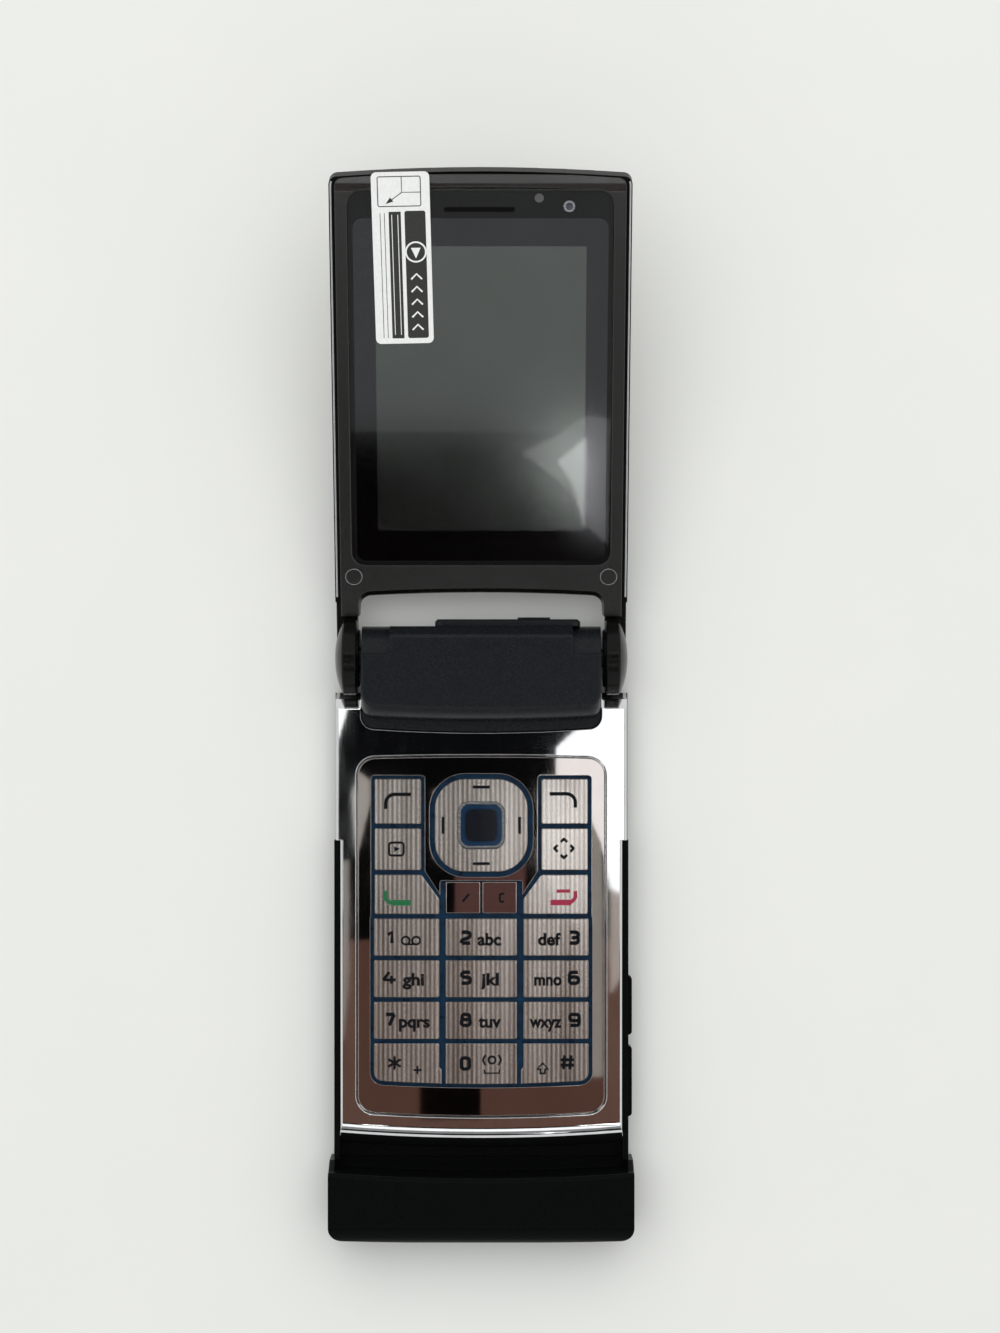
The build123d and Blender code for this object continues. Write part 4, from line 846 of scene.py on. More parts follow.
# Steel-backed display module: folded bright steel with a faint rolled grain, coarser than a real one.
DISPLAY_CAN = Finish("folded_steel_display_can", "#777a7c", "#9a9da0", (3.0, 0.2, 0.2), Grain.BRUSHED,
                     contrast=0.8, roughness=0.3, spread=0.06, relief=0.0015, metallic=1.0)
# Coated label paper with a peelable back: smooth warm white, fine felt marks.
LABEL_PAPER = Finish("coated_label_paper", "#e9ebe9", "#f6f7f6", (0.25, 0.9, 0.5), contrast=0.9, roughness=0.5,
                     spread=0.07)
# Pad-printed epoxy inks: dense, with a slightly uneven film.
KEY_INK = Finish("pad_printed_blue_black_ink", "#06080b", "#0d1116", 0.2, contrast=0.8, spread=0.06,
                 relief=0.001, specular=0.1)
CALL_INK = replace(KEY_INK, name="pad_printed_green_ink", dark="#11552f", light="#1a6d40", roughness=0.38,
                   specular=0.3)
END_INK = replace(CALL_INK, name="pad_printed_crimson_ink", dark="#851b38", light="#a32a48")
# Offset-printed ink on the label: dull dark grey, thinner than the keys' ink.
LABEL_INK = Finish("offset_printed_grey_ink", "#30302f", "#3c3c3b", 0.18, contrast=0.9, roughness=0.6,
                   spread=0.06, relief=0.0005, specular=0.2)
# Thin aluminium bead, drawn and polished bright: the trim line along the lid's long edges. Its fine marks are
# coarser than real ones.
POLISHED_TRIM = Finish("polished_aluminium_trim", "#a9aaab", "#bfc0c1", (0.4, 6.0, 0.4), Grain.BRUSHED,
                       roughness=0.14, spread=0.04, relief=0.0004, metallic=1.0)
# Screen-printed black border behind the glass: deep and dull, it takes its gloss from the glass.
WINDOW_INK = Finish("screen_printed_black_window_border", "#070708", "#0d0d0e", 0.6, roughness=0.6,
                    relief=0.0005, specular=0.2)
# Black mask of the liquid crystal cell: dark grey, faintly reflective.
CELL_MASK = Finish("liquid_crystal_cell_mask", "#505053", "#5b5b5e", 1.0, roughness=0.05, spread=0.02,
                   relief=0.00005, metallic=1.0)
# Liquid crystal cell, unlit: grey reflective layer with its pixel rows drawn twice as coarse as they are.
CELL_ACTIVE = Finish("unlit_liquid_crystal_cell", "#757a78", "#868b88", 0.3, Grain.WEAVE, roughness=0.07,
                     spread=0.02, relief=0.0001, metallic=1.0)
# Coated glass lens: violet-blue anti-reflection bloom.
LENS_GLASS = Finish("coated_lens_glass", "#10131f", "#232a46", 1.5, roughness=0.03, spread=0.01,
                    relief=0.0002, coat=1.0)
# Frosted polycarbonate over the light sensor: an even pale grey.
DIFFUSER = Finish("frosted_polycarbonate_diffuser", "#666664", "#747472", 0.3, contrast=0.6, roughness=0.5,
                  relief=0.001)
# Dust mesh of the earpiece: black woven polyester, nothing shines.
DUST_MESH = Finish("black_woven_polyester_mesh", "#040404", "#0a0a0a", 0.1, Grain.WEAVE, roughness=0.8,
                   specular=0.08)
# Matt backdrop paper under the object: pale and even, without gloss.
BACKDROP = Finish("matt_backdrop_paper", "#e9ebe7", "#ecede9", 40.0, roughness=0.9, spread=0.02, specular=0.0)
FINISH_OF_SLOT = {
    "soft_touch_black": SOFT_TOUCH, "satin_barrel": SATIN_BARREL, "satin_bezel": SATIN_BEZEL,
    "cast_magnesium": MAGNESIUM, "chrome_plate": CHROME, "mirror_plate": SMOKED_MIRROR, "key_silver": KEY_FOIL,
    "select_dark": SELECT_ACRYLIC, "blue_film": LIGHT_FILM, "inner_plastic": INNER_PLASTIC, "steel": STEEL,
    "bush_bronze": BRONZE, "circuit_board": SOLDER_MASK, "battery_can": BATTERY_SLEEVE, "clear_glass": GLASS,
    "dark_window": DARK_WINDOW, "display_module": DISPLAY_CAN, "tab_paper": LABEL_PAPER}
FINISH_OF_NODE = {"lid_cover": SATIN_SHELL, "lid_frame": BLACK_ENAMEL, "hinge_shaft": BLACK_STEEL,
                  "hinge_tube": BLACK_STEEL}


@dataclass
class Palette:
    """Every finish as a material, made once."""

    made: dict[str, Material] = field(default_factory=dict)

    def __getitem__(self, finish: Finish) -> Material:
        """The material of a finish.

        Args:
            finish: The finish.

        Returns:
            Its material.
        """
        if finish.name not in self.made:
            self.made[finish.name] = finish.material()
        return self.made[finish.name]

    def dress(self) -> None:
        """Give every CAD node the finish of its slot in the record, unless it is named itself."""
        for name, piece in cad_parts.items():
            given = piece.material_slots[0].material.name.split(".")[0]
            for place in piece.material_slots:
                place.material = self[FINISH_OF_NODE.get(name, FINISH_OF_SLOT[given])]
        LOG.info("finishes on %d CAD nodes", len(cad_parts))


# ---------------------------------------------------------------- prints

ROWS = (-49.12, -55.99, -63.20, -70.66)
FIGURE = 2.5
LETTER = 1.4
# Strokes of the squarish figures and signs, split by semicolons, in a box one unit wide and one unit high.
GLYPHS = {
    "0": "0,.5 0,1 1,1 1,0 0,0 0,.5",
    "1": "0,.76 .75,1 .75,0",
    "2": "0,1 1,1 1,.55 .02,.28 .02,0; .02,0 1,0",
    "3": "0,1 1,1 1,.5 .25,.5; .9,.5 1,.4 1,0 0,0",
    "4": ".5,1 0,.32; 0,.32 1,.32; .66,.66 .66,0",
    "5": "1,1 .06,1; .06,1 .06,.56; .06,.56 1,.56 1,0 0,0",
    "6": ".95,1 0,1 0,0 1,0 1,.56 .1,.56",
    "7": "0,1 1,1; .97,1 .4,0",
    "8": ".5,.53 .06,.53 .06,1 .94,1 .94,.53 .5,.53; .1,.53 0,.45 0,0 1,0 1,.45 .9,.53",
    "9": ".05,0 1,0 1,1 0,1 0,.44 .9,.44",
    "*": ".5,1 .5,0; 0,.78 1,.22; 0,.22 1,.78",
    "+": ".5,1 .5,0; 0,.5 1,.5",
    "#": ".3,1 .22,0; .78,1 .7,0; 0,.68 1,.68; 0,.3 1,.3",
    "C": "1,1 0,1 0,0 1,0",
    "/": "0,0 1,1"}


@dataclass(frozen=True)
class Mark:
    """A printed stroke, or a filled shape where the width is 0, in one ink."""

    path: Sequence[Point]
    width: float = 0.34
    radius: float = 0.0
    ink: Finish = KEY_INK
    closed: bool = False

    def mesh(self, height: float, palette: Palette, strokes: StrokeTree) -> Mesh:
        """Print the mark.

        Args:
            height: The z that it is printed at.
            palette: The materials.
            strokes: The tree that draws strokes.

        Returns:
            The mark as a flat mesh.
        """
        if self.width:
            return strokes.draw(self.path, height, self.width, palette[self.ink], self.radius, self.closed)
        return inked(cut_sheet([self.path], height), palette[self.ink])


@dataclass(frozen=True)
class Legend:
    """A word or figure printed on a key: its left and right edge, its baseline and its height."""

    key: str
    text: str
    left: float
    right: float
    foot: float
    body: float = FIGURE
    stroke: float = 0.62
    weight: float = 0.036
    turn: float = 0.75

    def parts(self) -> Sequence["Mark | Legend"]:
        """What is printed in turn.

        Returns:
            The strokes of a figure, or the word as it is.
        """
        if self.text not in GLYPHS:
            return [self]
        half = self.stroke / 2
        wide, tall = self.right - self.left - self.stroke, self.body - self.stroke
        paths = [[(self.left + half + x * wide, self.foot + half + y * tall) for x, y in corners(path)]
                 for path in GLYPHS[self.text].split(";")]
        return [Mark(path, self.stroke, self.stroke * self.turn if len(path) > 3 else 0.0) for path in paths]

    def mesh(self, height: float, palette: Palette, strokes: StrokeTree) -> Mesh:
        """Set the word in its place.

        Args:
            height: The z that it is printed at.
            palette: The materials.
            strokes: Not used, because a word is set in type.

        Returns:
            The word as a flat mesh.
        """
        mesh, reference = text_mesh(self.text, self.weight), text_mesh("x", self.weight)
        across = [v.co.x for v in mesh.vertices]
        wide = (self.right - self.left) / (max(across) - min(across))
        tall = self.body / max(v.co.y for v in reference.vertices)
        mesh.transform(Matrix.Translation((self.left * MM, self.foot * MM, height * MM))
                       @ Matrix.Diagonal((wide * MM, tall * MM, 1, 1))
                       @ Matrix.Translation((-min(across), 0, 0)))
        bpy.data.meshes.remove(reference)
        return inked(mesh, palette[KEY_INK])


LEGENDS = (
    Legend("key_1", "1", -16.3, -14.75, ROWS[0]),
    Legend("key_2", "2", -3.7, -1.6, ROWS[0]), Legend("key_2", "abc", -0.65, 3.4, ROWS[0], LETTER),
    Legend("key_3", "3", 14.8, 16.9, ROWS[0]), Legend("key_3", "def", 9.7, 13.6, ROWS[0], LETTER),
    Legend("key_4", "4", -17.05, -14.4, ROWS[1], stroke=0.5), Legend("key_4", "ghi", -13.5, -9.8, ROWS[1], LETTER),
    Legend("key_5", "5", -3.7, -1.6, ROWS[1]), Legend("key_5", "jkl", -0.15, 3.0, ROWS[1], LETTER),
    Legend("key_6", "6", 14.8, 16.95, ROWS[1]), Legend("key_6", "mno", 9.05, 13.75, ROWS[1], LETTER),
    Legend("key_7", "7", -16.65, -14.55, ROWS[2]), Legend("key_7", "pqrs", -14.1, -8.8, ROWS[2], LETTER),
    Legend("key_8", "8", -3.7, -1.6, ROWS[2]), Legend("key_8", "tuv", -0.5, 3.4, ROWS[2], LETTER),
    Legend("key_9", "9", 14.85, 17.05, ROWS[2]), Legend("key_9", "wxyz", 8.25, 13.75, ROWS[2], LETTER),
    Legend("key_star", "*", -16.15, -13.55, ROWS[3], 2.7, 0.42),
    Legend("key_star", "+", -11.8, -10.05, ROWS[3] - 0.75, 1.75, 0.34),
    Legend("key_0", "0", -3.7, -1.75, ROWS[3]), Legend("key_hash", "#", 13.3, 16.1, ROWS[3], 2.9, 0.52),
    Legend("clear_key", "C", 3.0, 4.1, -41.9, 1.7, 0.34), Legend("edit_key", "/", -3.4, -1.9, -41.9, 1.7, 0.4))
RING_STEPS = 20
# Generic marks: message loops, space bar and calling wave, shift arrow, corners, play sign, four chevrons, handsets.
KEY_MARKS: Mapping[str, Sequence[Mark]] = {
    "key_1": (*(Mark(circle(x, -48.37, 0.66, RING_STEPS), closed=True) for x in (-12.95, -11.15)),
              Mark(corners("-12.95,-49 -11.15,-49"))),
    "key_0": (Mark(corners("0.55,-70.46 0.55,-71.06 3.1,-71.06 3.1,-70.46")),
              Mark(circle(1.83, -68.81, 0.6, RING_STEPS), closed=True),
              Mark(corners("0.73,-69.71 0.23,-68.81 0.73,-67.91"), radius=0.5),
              Mark(corners("2.93,-69.71 3.43,-68.81 2.93,-67.91"), radius=0.5)),
    "key_hash": (Mark(corners("10.5,-69.36 11.45,-70.36 10.9,-70.36 10.9,-71.11 10.1,-71.11 10.1,-70.36 9.55,-70.36"),
                      0.42, closed=True),),
    "soft_key_left": (Mark(corners("-16.35,-25.85 -16.35,-23.35 -12.05,-23.35"), 0.6, 1.5),),
    "soft_key_right": (Mark(corners("16.1,-25.6 16.1,-23.25 11.7,-23.25"), 0.6, 1.5),),
    "media_key": (Mark(rounded((-15.8, -13.3), (-33.8, -31.6), 0.45, steps=5), 0.38, closed=True),
                  Mark(corners("-14.9,-33.2 -13.95,-32.7 -14.9,-32.2"), 0.0)),
    "menu_key": [Mark([(14.15 + x * c - y * s, -32.6 + x * s + y * c)
                       for x, y in corners("0.561,1.089 0,1.65 -0.561,1.089")], 0.46, 0.1)
                 for c, s in ((1, 0), (0, 1), (-1, 0), (0, -1))],
    "call_key": (Mark(corners("-16.45,-39.85 -16.45,-41.2 -15.6,-41.9 -12.1,-41.9"), 0.62, 0.6, CALL_INK),
                 Mark(corners("-15.5,-41.9 -12.1,-41.9"), 0.95, ink=CALL_INK)),
    "end_key": (Mark(corners("12.9,-39.9 15.2,-39.9"), 0.55, ink=END_INK),
                Mark(corners("16.1,-39.9 16.1,-41.1 15.3,-41.85 11.85,-41.85"), 0.62, 0.6, END_INK),
                Mark(corners("15.4,-41.85 11.85,-41.85"), 0.95, ink=END_INK))}


@dataclass
class Keypad:
    """Figures, letters and marks printed on the keys, each riding on its own key."""

    palette: Palette
    strokes: StrokeTree
    step: float = 0.003
    prints: dict[str, list[Mesh]] = field(default_factory=dict)

    def add(self, key: str, parts: Iterable[Mark | Legend]) -> None:
        """Print on a key's face, each print just above the last.

        Args:
            key: The key's node.
            parts: What is printed in turn.
        """
        done = self.prints.setdefault(key, [])
        for part in parts:
            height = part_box(key)[1].z / MM + PRINT_LIFT + self.step * len(done)
            done.append(part.mesh(height, self.palette, self.strokes))

    def build(self) -> None:
        """Print every key."""
        for legend in LEGENDS:
            self.add(legend.key, legend.parts())
        for key, marks in KEY_MARKS.items():
            self.add(key, marks)
        for key, meshes in self.prints.items():
            new_piece(f"print_on_{key}", joined(key, meshes), key)


@dataclass
class NavigationCluster:
    """Four dashes printed on the ring round the select key."""

    palette: Palette
    centre: float = -28.65
    reach: float = 6.55
    dash: Point = (2.9, 0.5)

    def build(self) -> None:
        """Print the dashes on the ring."""
        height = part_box("nav_ring")[1].z / MM + PRINT_LIFT
        points = [(x * self.reach, self.centre + y * self.reach, height)
                  for x, y in ((0, 1), (-1, 0), (0, -1), (1, 0))]
        dashes = StampTree("ring_dashes").press(points, *self.dash, self.palette[KEY_INK], turn=90.0)
        new_piece("print_on_nav_ring", dashes, "nav_ring")


# ---------------------------------------------------------------- lid


def lid_height(node: str) -> float:
    """The highest point of a lid node above the hinge axis, measured square to the lid.

    Args:
        node: The node's name.

    Returns:
        The height in millimetres.
    """
    back = LID_PLACE.inverted()
    return max((back @ v.co).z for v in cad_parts[node].data.vertices) / MM


def lid_piece(name: str, mesh: Mesh) -> None:
    """Raise a mesh from the flat layout and let it ride on the lid.

    Args:
        name: The piece's name.
        mesh: Its mesh.
    """
    mesh.transform(LID_PLACE)
    new_piece(name, mesh, "lid")


@dataclass
class LidScreen:
    """Printed window border, cell face, earpiece mesh, lens and sensor behind the lid's glass."""

    palette: Palette
    glass_half: float = 21.9
    glass: Point = (16.35, 81.4)
    glass_corner: float = 2.3
    glass_bow: float = 0.55
    glass_top: float = -1.5
    bond_height: float = -2.27
    window_half: float = 21.1
    window: Point = (16.9, 76.2)
    window_corner: float = 1.6
    active_half: float = 17.5
    active: Point = (22.3, 71.5)
    active_corner: float = 0.12
    ear: Point = (-0.2, 77.8)
    ear_slot: Point = (11.7, 0.8)
    ear_corner: float = 0.39
    ear_pitch: float = 0.4
    ear_row: float = 0.17
    ear_dot: Point = (0.26, 0.05)
    lens: Point = (14.6, 78.3)
    lens_opening: float = 1.02
    lens_ring: Point = (0.95, 0.62)
    lens_ring_lift: float = 0.02
    lens_dome: Point = (1.2, 0.3)
    sensor: Point = (9.65, 79.6)
    sensor_radius: float = 0.75

    def glass_outline(self) -> list[Point]:
        """The glass's outline, whose far end bows outwards.

        Returns:
            The points in lid coordinates.
        """
        points = rounded((-self.glass_half, self.glass_half), self.glass, self.glass_corner)
        return [(x, y - (self.glass_bow * (x / self.glass_half) ** 2 if y > sum(self.glass) / 2 else 0))
                for x, y in points]

    def slot_outline(self) -> list[Point]:
        """The outline of the earpiece's slot.

        Returns:
            The points in lid coordinates.
        """
        (x, y), (width, height) = self.ear, self.ear_slot
        return rounded((x - width / 2, x + width / 2), (y - height / 2, y + height / 2), self.ear_corner)

    def prints(self) -> None:
        """Lay the border, the cell's mask and its active area in the bond under the glass."""
        window = rounded((-self.window_half, self.window_half), self.window, self.window_corner)
        active = rounded((-self.active_half, self.active_half), self.active, self.active_corner, steps=3)
        sensor = circle(*self.sensor, self.sensor_radius)
        openings = [window, self.slot_outline(), circle(*self.lens, self.lens_opening), sensor]
        for name, finish, outlines in (("window_border_print", WINDOW_INK, [self.glass_outline(), *openings]),
                                       ("cell_mask", CELL_MASK, [window, active]),
                                       ("cell_active_area", CELL_ACTIVE, [active]),
                                       ("light_sensor_window", DIFFUSER, [sensor])):
            lid_piece(name, inked(cut_sheet(outlines, self.bond_height), self.palette[finish]))

    def ear_mesh(self) -> None:
        """Lay the earpiece's dust mesh in its slot, flush with the glass, its raised weave coarser than real."""
        count = int(self.ear_slot[0] / self.ear_pitch) - 1
        points = [(self.ear[0] + (i - (count - 1) / 2) * self.ear_pitch, self.ear[1] + side * self.ear_row,
                   self.glass_top) for i in range(count) for side in (-1, 1)]
        black = self.palette[DUST_MESH]
        dots = StampTree("ear_holes", Stamp.DOME).press(points, *self.ear_dot, black)
        cloth = inked(cut_sheet([self.slot_outline()], self.glass_top + PRINT_LIFT), black)
        lid_piece("earpiece_mesh", joined("earpiece_mesh", [cloth, dots]))

    def lens_parts(self) -> None:
        """Set the front camera's bright ring and its domed lens on the camera's barrel."""
        x, y = self.lens
        height = lid_height("front_camera_and_sensor")
        ring = cut_sheet([circle(x, y, radius) for radius in self.lens_ring], height + self.lens_ring_lift)
        dome = StampTree("lens_dome", Stamp.DOME).press([(x, y, height)], *self.lens_dome, self.palette[LENS_GLASS])
        lid_piece("front_lens", joined("front_lens", [inked(ring, self.palette[STEEL]), dome]))

    def build(self) -> None:
        """Make every part of the screen."""
        self.prints()
        self.ear_mesh()
        self.lens_parts()


@dataclass
class LidTrim:
    """Beads along the lid's long edges, round the caps of its two screws and round the glass's seat."""

    palette: Palette
    beads: BeadTree
    radius: float = 0.2
    sink: float = 0.34
    height: float = -1.76
    band: float = 1.2
    middle: float = 15.0
    ends: Point = (10.5, 82.6)
    caps: tuple[Point, ...] = ((-21.7, 14.2), (21.7, 14.2))
    cap_radius: float = 1.4
    cap_bead: float = 0.045
    seat_bead: float = 0.1
    face_height: float = -1.36

    def edge(self, side: int) -> list[Point]:
        """The shell's outline along one long edge, in lid coordinates.

        Args:
            side: 1 for the right edge, -1 for the left.

        Returns:
            The points from the hinge's end to the tip.
        """
        back = LID_PLACE.inverted()
        points = [back @ v.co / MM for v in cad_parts["lid_cover"].data.vertices]
        flat = [(p.x, p.y) for p in points if abs(p.z - self.height) < self.band]
        hull = [flat[i] for i in convex_hull_2d(flat)]
        foot, tip = self.ends
        run = sorted((p for p in hull if p[0] * side > self.middle and foot < p[1] < tip), key=lambda p: p[1])
        return [(x - side * self.sink, y) for x, y in [(run[0][0], foot), *run]]

    def build(self) -> None:
        """Lay the beads."""
        trim = self.palette[POLISHED_TRIM]
        meshes = [self.beads.lay(self.edge(side), self.height, self.radius, trim) for side in (-1, 1)]
        meshes += [self.beads.lay(circle(x, y, self.cap_radius), self.face_height, self.cap_bead, trim, closed=True)
                   for x, y in self.caps]
        seat = LidScreen(self.palette, glass_half=22.06, glass=(16.19, 81.56), glass_corner=2.4).glass_outline()
        meshes.append(self.beads.lay(seat, self.face_height, self.seat_bead, self.palette[SATIN_BEZEL], closed=True))
        lid_piece("lid_edge_beads", joined("lid_edge_beads", meshes))


# The pull tab's marks about its middle: a lifted sheet with its arrow, a dark band with a ring and chevrons, and
# bars and ruled lines that stand for words.
TAB_MARKS = (
    Mark(rounded((-3.75, 3.3), (8.75, 13.7), 0.25, steps=3), 0.16, ink=LABEL_INK, closed=True),
    Mark(corners("0.2,13.7 0.2,11.05 3.3,11.05"), 0.14, ink=LABEL_INK),
    Mark(corners("0.2,11.05 -1.6,9.75"), 0.14, ink=LABEL_INK),
    Mark(corners("-2.5,9.15 -1.2,9.55 -1.75,10.25"), 0.0, ink=LABEL_INK),
    Mark(rounded((0.55, 4.0), (-13.55, 7.95), 0.4), 0.0, ink=LABEL_INK),
    Mark(circle(2.25, 1.05, 1.65, steps=28), 0.28, ink=LABEL_PAPER, closed=True),
    Mark(corners("2.25,-0.05 3.05,1.75 1.45,1.75"), 0.0, ink=LABEL_PAPER),
    Mark(rounded((-2.05, -0.05), (-13.55, 7.85), 0.1, steps=3), 0.0, ink=LABEL_INK),
    *(Mark([(1.35, low), (2.25, low + 0.9), (3.15, low)], 0.3, ink=LABEL_PAPER)
      for low in (-12.15, -10.0, -7.85, -5.7, -3.55)),
    *(Mark([(x, -12.95), (x, 7.35)], 0.12, ink=LABEL_PAPER) for x in (-1.55, -0.55)),
    *(Mark([(x, -13.45), (x, 7.65)], 0.1, ink=LABEL_INK) for x in (-3.45, -2.75)))


@dataclass
class TabPrint:
    """Plain marks on the pull tab, the pale ones over the dark ones."""

    palette: Palette
    strokes: StrokeTree
    centre: Point = (-12.9, 69.65)
    lean: float = 1.2
    face: float = -1.23

    def build(self) -> None:
        """Print the tab."""
        meshes = []
        for mark in TAB_MARKS:
            layer = 2 if mark.ink is LABEL_PAPER else 1
            meshes.append(mark.mesh(self.face + layer * PRINT_LIFT, self.palette, self.strokes))
        mesh = joined("tab_print", meshes)
        mesh.transform(Matrix.Translation((self.centre[0] * MM, self.centre[1] * MM, 0))
                       @ Matrix.Rotation(math.radians(self.lean), 4, "Z"))
        lid_piece("tab_print", mesh)


# ---------------------------------------------------------------- underside


@dataclass
class Underside:
    """Painted shade of the housing screws' drive recesses, the loudspeaker's mesh and the rear camera's lens."""

    palette: Palette
    screws: tuple[Point, ...] = ((-14.0, -10.6), (14.0, -10.6), (-20.6, -83.0), (20.6, -83.0))
    screw_face: float = 0.2
    # Size of the flat black cross that stands in for the shade in each screw's drive recess: painted shade.
    recess_shade: Point = (1.3, 0.26)
    speaker: tuple[Point, Point] = ((-4.8, 4.8), (-96.2, -91.0))
    speaker_face: float = 1.2
    speaker_pitch: float = 0.55
    speaker_dot: Point = (0.34, 0.12)
    camera: Point = (-10.2, -2.6)
    camera_ring: Point = (2.75, 2.35)
    camera_dome: Point = (1.9, 0.2)

    def screw_recesses(self) -> None:
        """Lay a flat black cross on each screw as painted shade of its drive recess, which the screw heads don't have
        as a hollow.
        """
        # Painted shade: a flat black cross where a real drive recess would only be dark from shade.
        points = [(x, y, self.screw_face - PRINT_LIFT) for x, y in self.screws]
        black = self.palette[INNER_PLASTIC]
        crosses = StampTree("screw_recesses", Stamp.CROSS).press(points, *self.recess_shade, black, tilt=180.0)
        new_piece("screw_recesses", crosses, "base")

    def speaker_mesh(self) -> None:
        """Lay the loudspeaker's mesh as rows of small domes, coarser than a real mesh."""
        (left, right), (low, high), pitch = *self.speaker, self.speaker_pitch
        holes = [(left + i * pitch, low + j * pitch, self.speaker_face - PRINT_LIFT)
                 for i in range(int((right - left) / pitch) + 1) for j in range(int((high - low) / pitch) + 1)]
        dots = StampTree("speaker_mesh", Stamp.DOME).press(holes, *self.speaker_dot, self.palette[STEEL])
        new_piece("speaker_mesh", dots, "base")

    def camera_parts(self) -> None:
        """Set the rear camera's ring and domed lens on its window."""
        x, y = self.camera
        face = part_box("camera_window")[0].z / MM
        ring = cut_sheet([circle(x, y, radius, steps=48) for radius in self.camera_ring], face - PRINT_LIFT)
        ring.flip_normals()
        dome = StampTree("rear_lens", Stamp.DOME).press([(x, y, face)], *self.camera_dome, self.palette[LENS_GLASS])
        parts = [inked(ring, self.palette[STEEL]), dome]
        new_piece("rear_camera_ring", joined("rear_camera_ring", parts), "base")

    def build(self) -> None:
        """Make the small fittings of the underside."""
        self.screw_recesses()
        self.speaker_mesh()
        self.camera_parts()


# ---------------------------------------------------------------- studio


@dataclass(frozen=True)
class Card:
    """A glowing card that only mirrors and gloss show: its name, its corners in plan and its sRGB colour."""

    name: str
    outline: Sequence[Point]
    colour: str
    drop: float = 0.0
    strength: float = 1.0

    def hang(self, height: float) -> None:
        """Hang the card face down.

        Args:
            height: The height of the ceiling board in millimetres, which the card's drop is taken off.
        """
        mesh = filled(self.outline[::-1], height - self.drop)
        piece = linked(self.name, mesh)
        piece.visible_camera = piece.visible_diffuse = piece.visible_shadow = False
        card = bpy.data.materials.new(self.name)
        card.use_nodes = True
        tree = card.node_tree
        tree.nodes.clear()
        glow = add_node(tree, "ShaderNodeEmission", inputs={"Color": linear(self.colour), "Strength": self.strength})
        add_node(tree, "ShaderNodeOutputMaterial", inputs={"Surface": glow.outputs[0]})
        mesh.materials.append(card)


WHITE = "#ffffff"
CARDS = (
    Card("ceiling_dark", block(-330, 330, -118, 160), "#0d0e0f"),
    Card("ceiling_warm", block(-330, 330, -215, -118), "#6f5348"),
    Card("ceiling_umber", block(-330, 330, -345, -215), "#1e1815"),
    Card("lip_light", block(-330, 330, -425, -345), WHITE, 0.0, 1.6),
    Card("ceiling_grey", block(-330, 330, -606, -425), "#9fa1a0"),
    Card("ceiling_black", block(-330, 330, -765, -606), "#191313"),
    Card("warm_patch", block(-16, 14, -116, -86), "#6f504d", 2.0),
    Card("warm_foot", block(-31, -5, -194, -178), "#0d0a09", 2.0),
    Card("margin_left", corners("-65.5,-84 -65.5,-160 -63.5,-160 -61,-130 -61,-84"), "#a89f98", 3.0),
    Card("keys_left", block(-50, -38, -94, -51), "#f2eeea", 2.5),
    Card("ring_left", block(-25, -18, -83, -54), "#f2eeea", 2.5),
    Card("ring_right", block(2, 8, -83, -54), "#e2deda", 2.5),
    Card("keys_right", corners("21,-84 28,-106 37,-112 37,-49 23,-49 21,-60"), WHITE, 2.5, 6.5),
    Card("corner_left", corners("-58,-84 -52,-60 -52,-50 -57,-46 -60,-56"), "#d6d3cf", 3.0),
    Card("margin_right", corners("38,-30 44.5,-30 47,-100 47,-176 36,-176 38,-100"), "#b8b5af", 3.0),
    Card("rail_right", corners("50,-96 57,-96 57,-130 51,-140 50,-140"), "#c0b3a9", 3.0),
    Card("spark_left", block(-92, -50, -312, -262), WHITE, 3.0, 8.0),
    Card("spark_right", block(42, 78, -312, -262), WHITE, 3.0, 8.0),
    Card("spark_far_left", block(-92, -50, 215, 260), WHITE, 3.0, 8.0),
    Card("spark_far_right", block(42, 78, 215, 260), WHITE, 3.0, 8.0),
    Card("window_left", corners("-150,-110 -68.5,-98 -67.5,-66 -66.5,-36 -60,-14 -150,-8"), WHITE, 4.0, 1.8),
    Card("window_right", corners("50,-96 150,-130 150,-10 50,-14 27,-36 27,-52 38,-58 46,-76"), WHITE, 4.0, 1.8),
    Card("glint", corners("45,-660 56,-672 56,-596 44,-594 30,-606 14,-616 30,-631 40,-643"), WHITE, 3.0, 1.3),
    Card("glint_core", corners("44.5,-662 44.5,-606 39,-612 31,-620 39,-636"), WHITE, 4.0, 5.0))


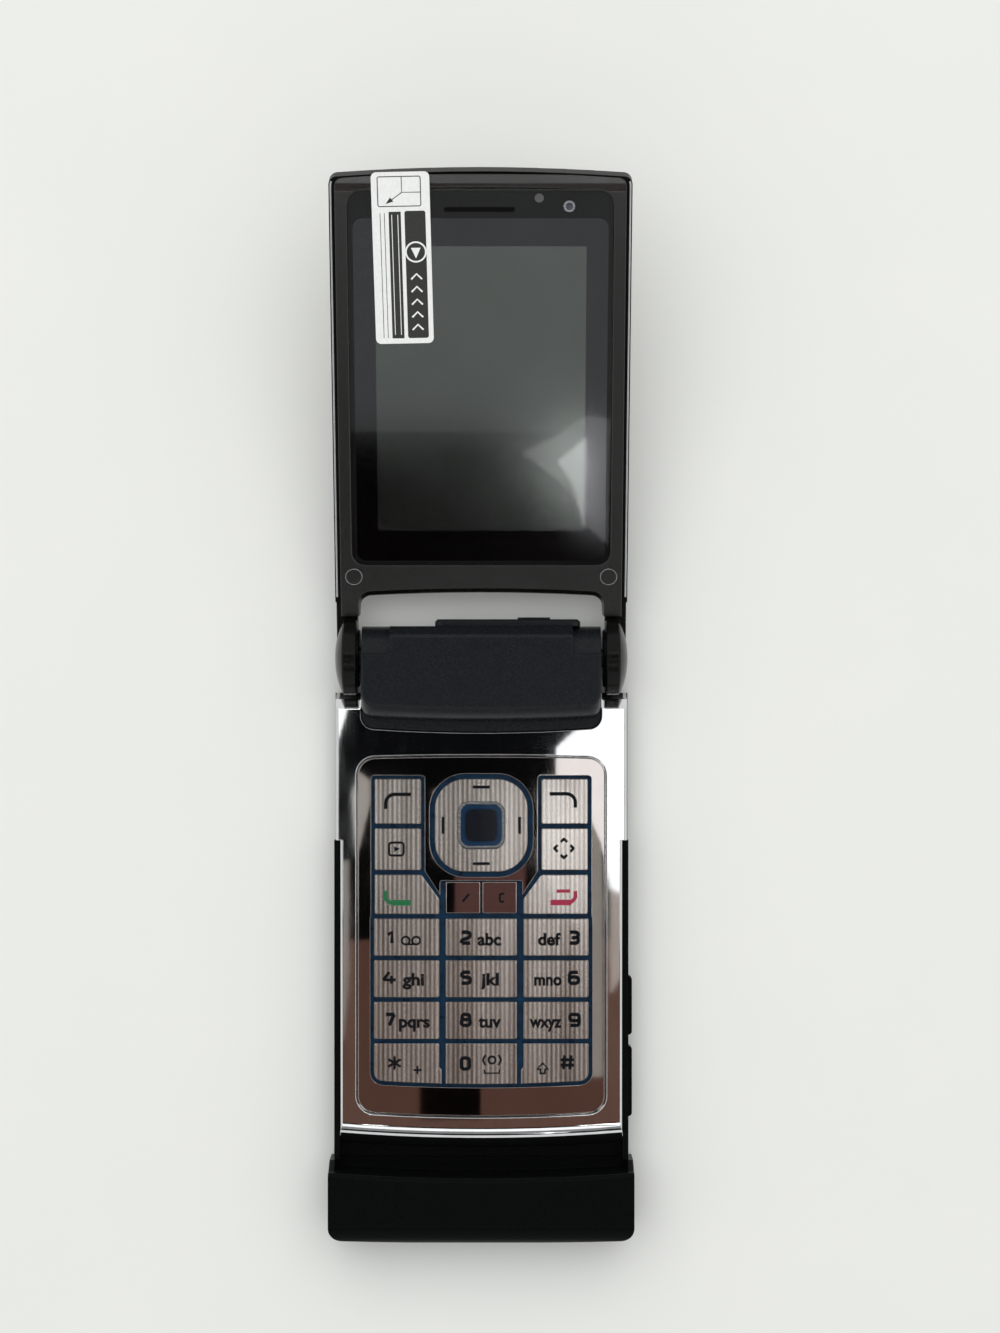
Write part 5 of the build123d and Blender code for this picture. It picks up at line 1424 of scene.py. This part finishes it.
@dataclass
class Studio:
    """Pale floor, even light, cards for the mirrors to show, and the camera."""

    camera: tuple[float, float, float] = (3.2, -1.46, 606.85)
    lens: float = 94.5
    sensor: float = 36.0
    clip: Point = (0.01, 20.0)
    floor_half: float = 3000.0
    floor_height: float = -0.02
    board_height: float = 900.0
    daylight: float = 0.62
    lamp_power: float = 10.6
    lamp_size: float = 1.8
    lamp_place: tuple[float, float, float] = (-0.05, 0.45, 1.25)

    def floor(self) -> None:
        """Lay the floor, which keeps the object's shadow."""
        half = self.floor_half
        mesh = filled(block(-half, half, -half, half), self.floor_height)
        mesh.materials.append(BACKDROP.material())
        linked("studio_floor", mesh)

    def world(self) -> None:
        """Light the scene evenly, and show white to the camera, in metal and through glass."""
        world = bpy.data.worlds.new("studio")
        bpy.context.scene.world = world
        world.use_nodes = True
        tree = world.node_tree
        tree.nodes.clear()
        path = add_node(tree, "ShaderNodeLightPath").outputs
        seen = path["Is Camera Ray"]
        for name in ("Is Glossy Ray", "Is Transmission Ray"):
            seen = calc(tree, "MAXIMUM", seen, path[name])
        strength = add_node(tree, "ShaderNodeMapRange", inputs={"Value": seen, "To Min": self.daylight, "To Max": 1.0})
        sky = add_node(tree, "ShaderNodeBackground",
                       inputs={"Color": linear(WHITE), "Strength": strength.outputs[0]})
        add_node(tree, "ShaderNodeOutputWorld", inputs={"Surface": sky.outputs[0]})

    def lamp(self) -> None:
        """Hang one wide soft lamp overhead that gloss doesn't show."""
        lamp = bpy.data.lights.new("soft_lamp", "AREA")
        lamp.shape = "DISK"
        lamp.size = self.lamp_size
        lamp.energy = self.lamp_power
        holder = linked("soft_lamp", lamp)
        holder.location = self.lamp_place
        holder.rotation_euler = Vector(self.lamp_place).to_track_quat("Z", "Y").to_euler()
        holder.visible_glossy = False

    def view(self) -> None:
        """Hang the camera straight above the phone."""
        camera = bpy.data.cameras.new("camera")
        camera.lens = self.lens
        camera.sensor_width = self.sensor
        camera.clip_start, camera.clip_end = self.clip
        holder = linked("camera", camera)
        holder.location = [c * MM for c in self.camera]
        bpy.context.scene.camera = holder

    def build(self) -> None:
        """Make the studio."""
        self.floor()
        self.world()
        self.lamp()
        for card in CARDS:
            card.hang(self.board_height)
        self.view()
        bpy.context.scene.view_settings.view_transform = "Standard"


def main() -> None:
    """Build and dress the phone in order, and report each piece."""
    logging.basicConfig(level=logging.INFO, format="%(name)s: %(message)s")
    palette = Palette()
    strokes = StrokeTree("printed_stroke")
    Studio().build()
    palette.dress()
    Keypad(palette, strokes).build()
    NavigationCluster(palette).build()
    LidScreen(palette).build()
    LidTrim(palette, BeadTree("bright_bead")).build()
    TabPrint(palette, strokes).build()
    Underside(palette).build()


if __name__ == "__main__":
    main()
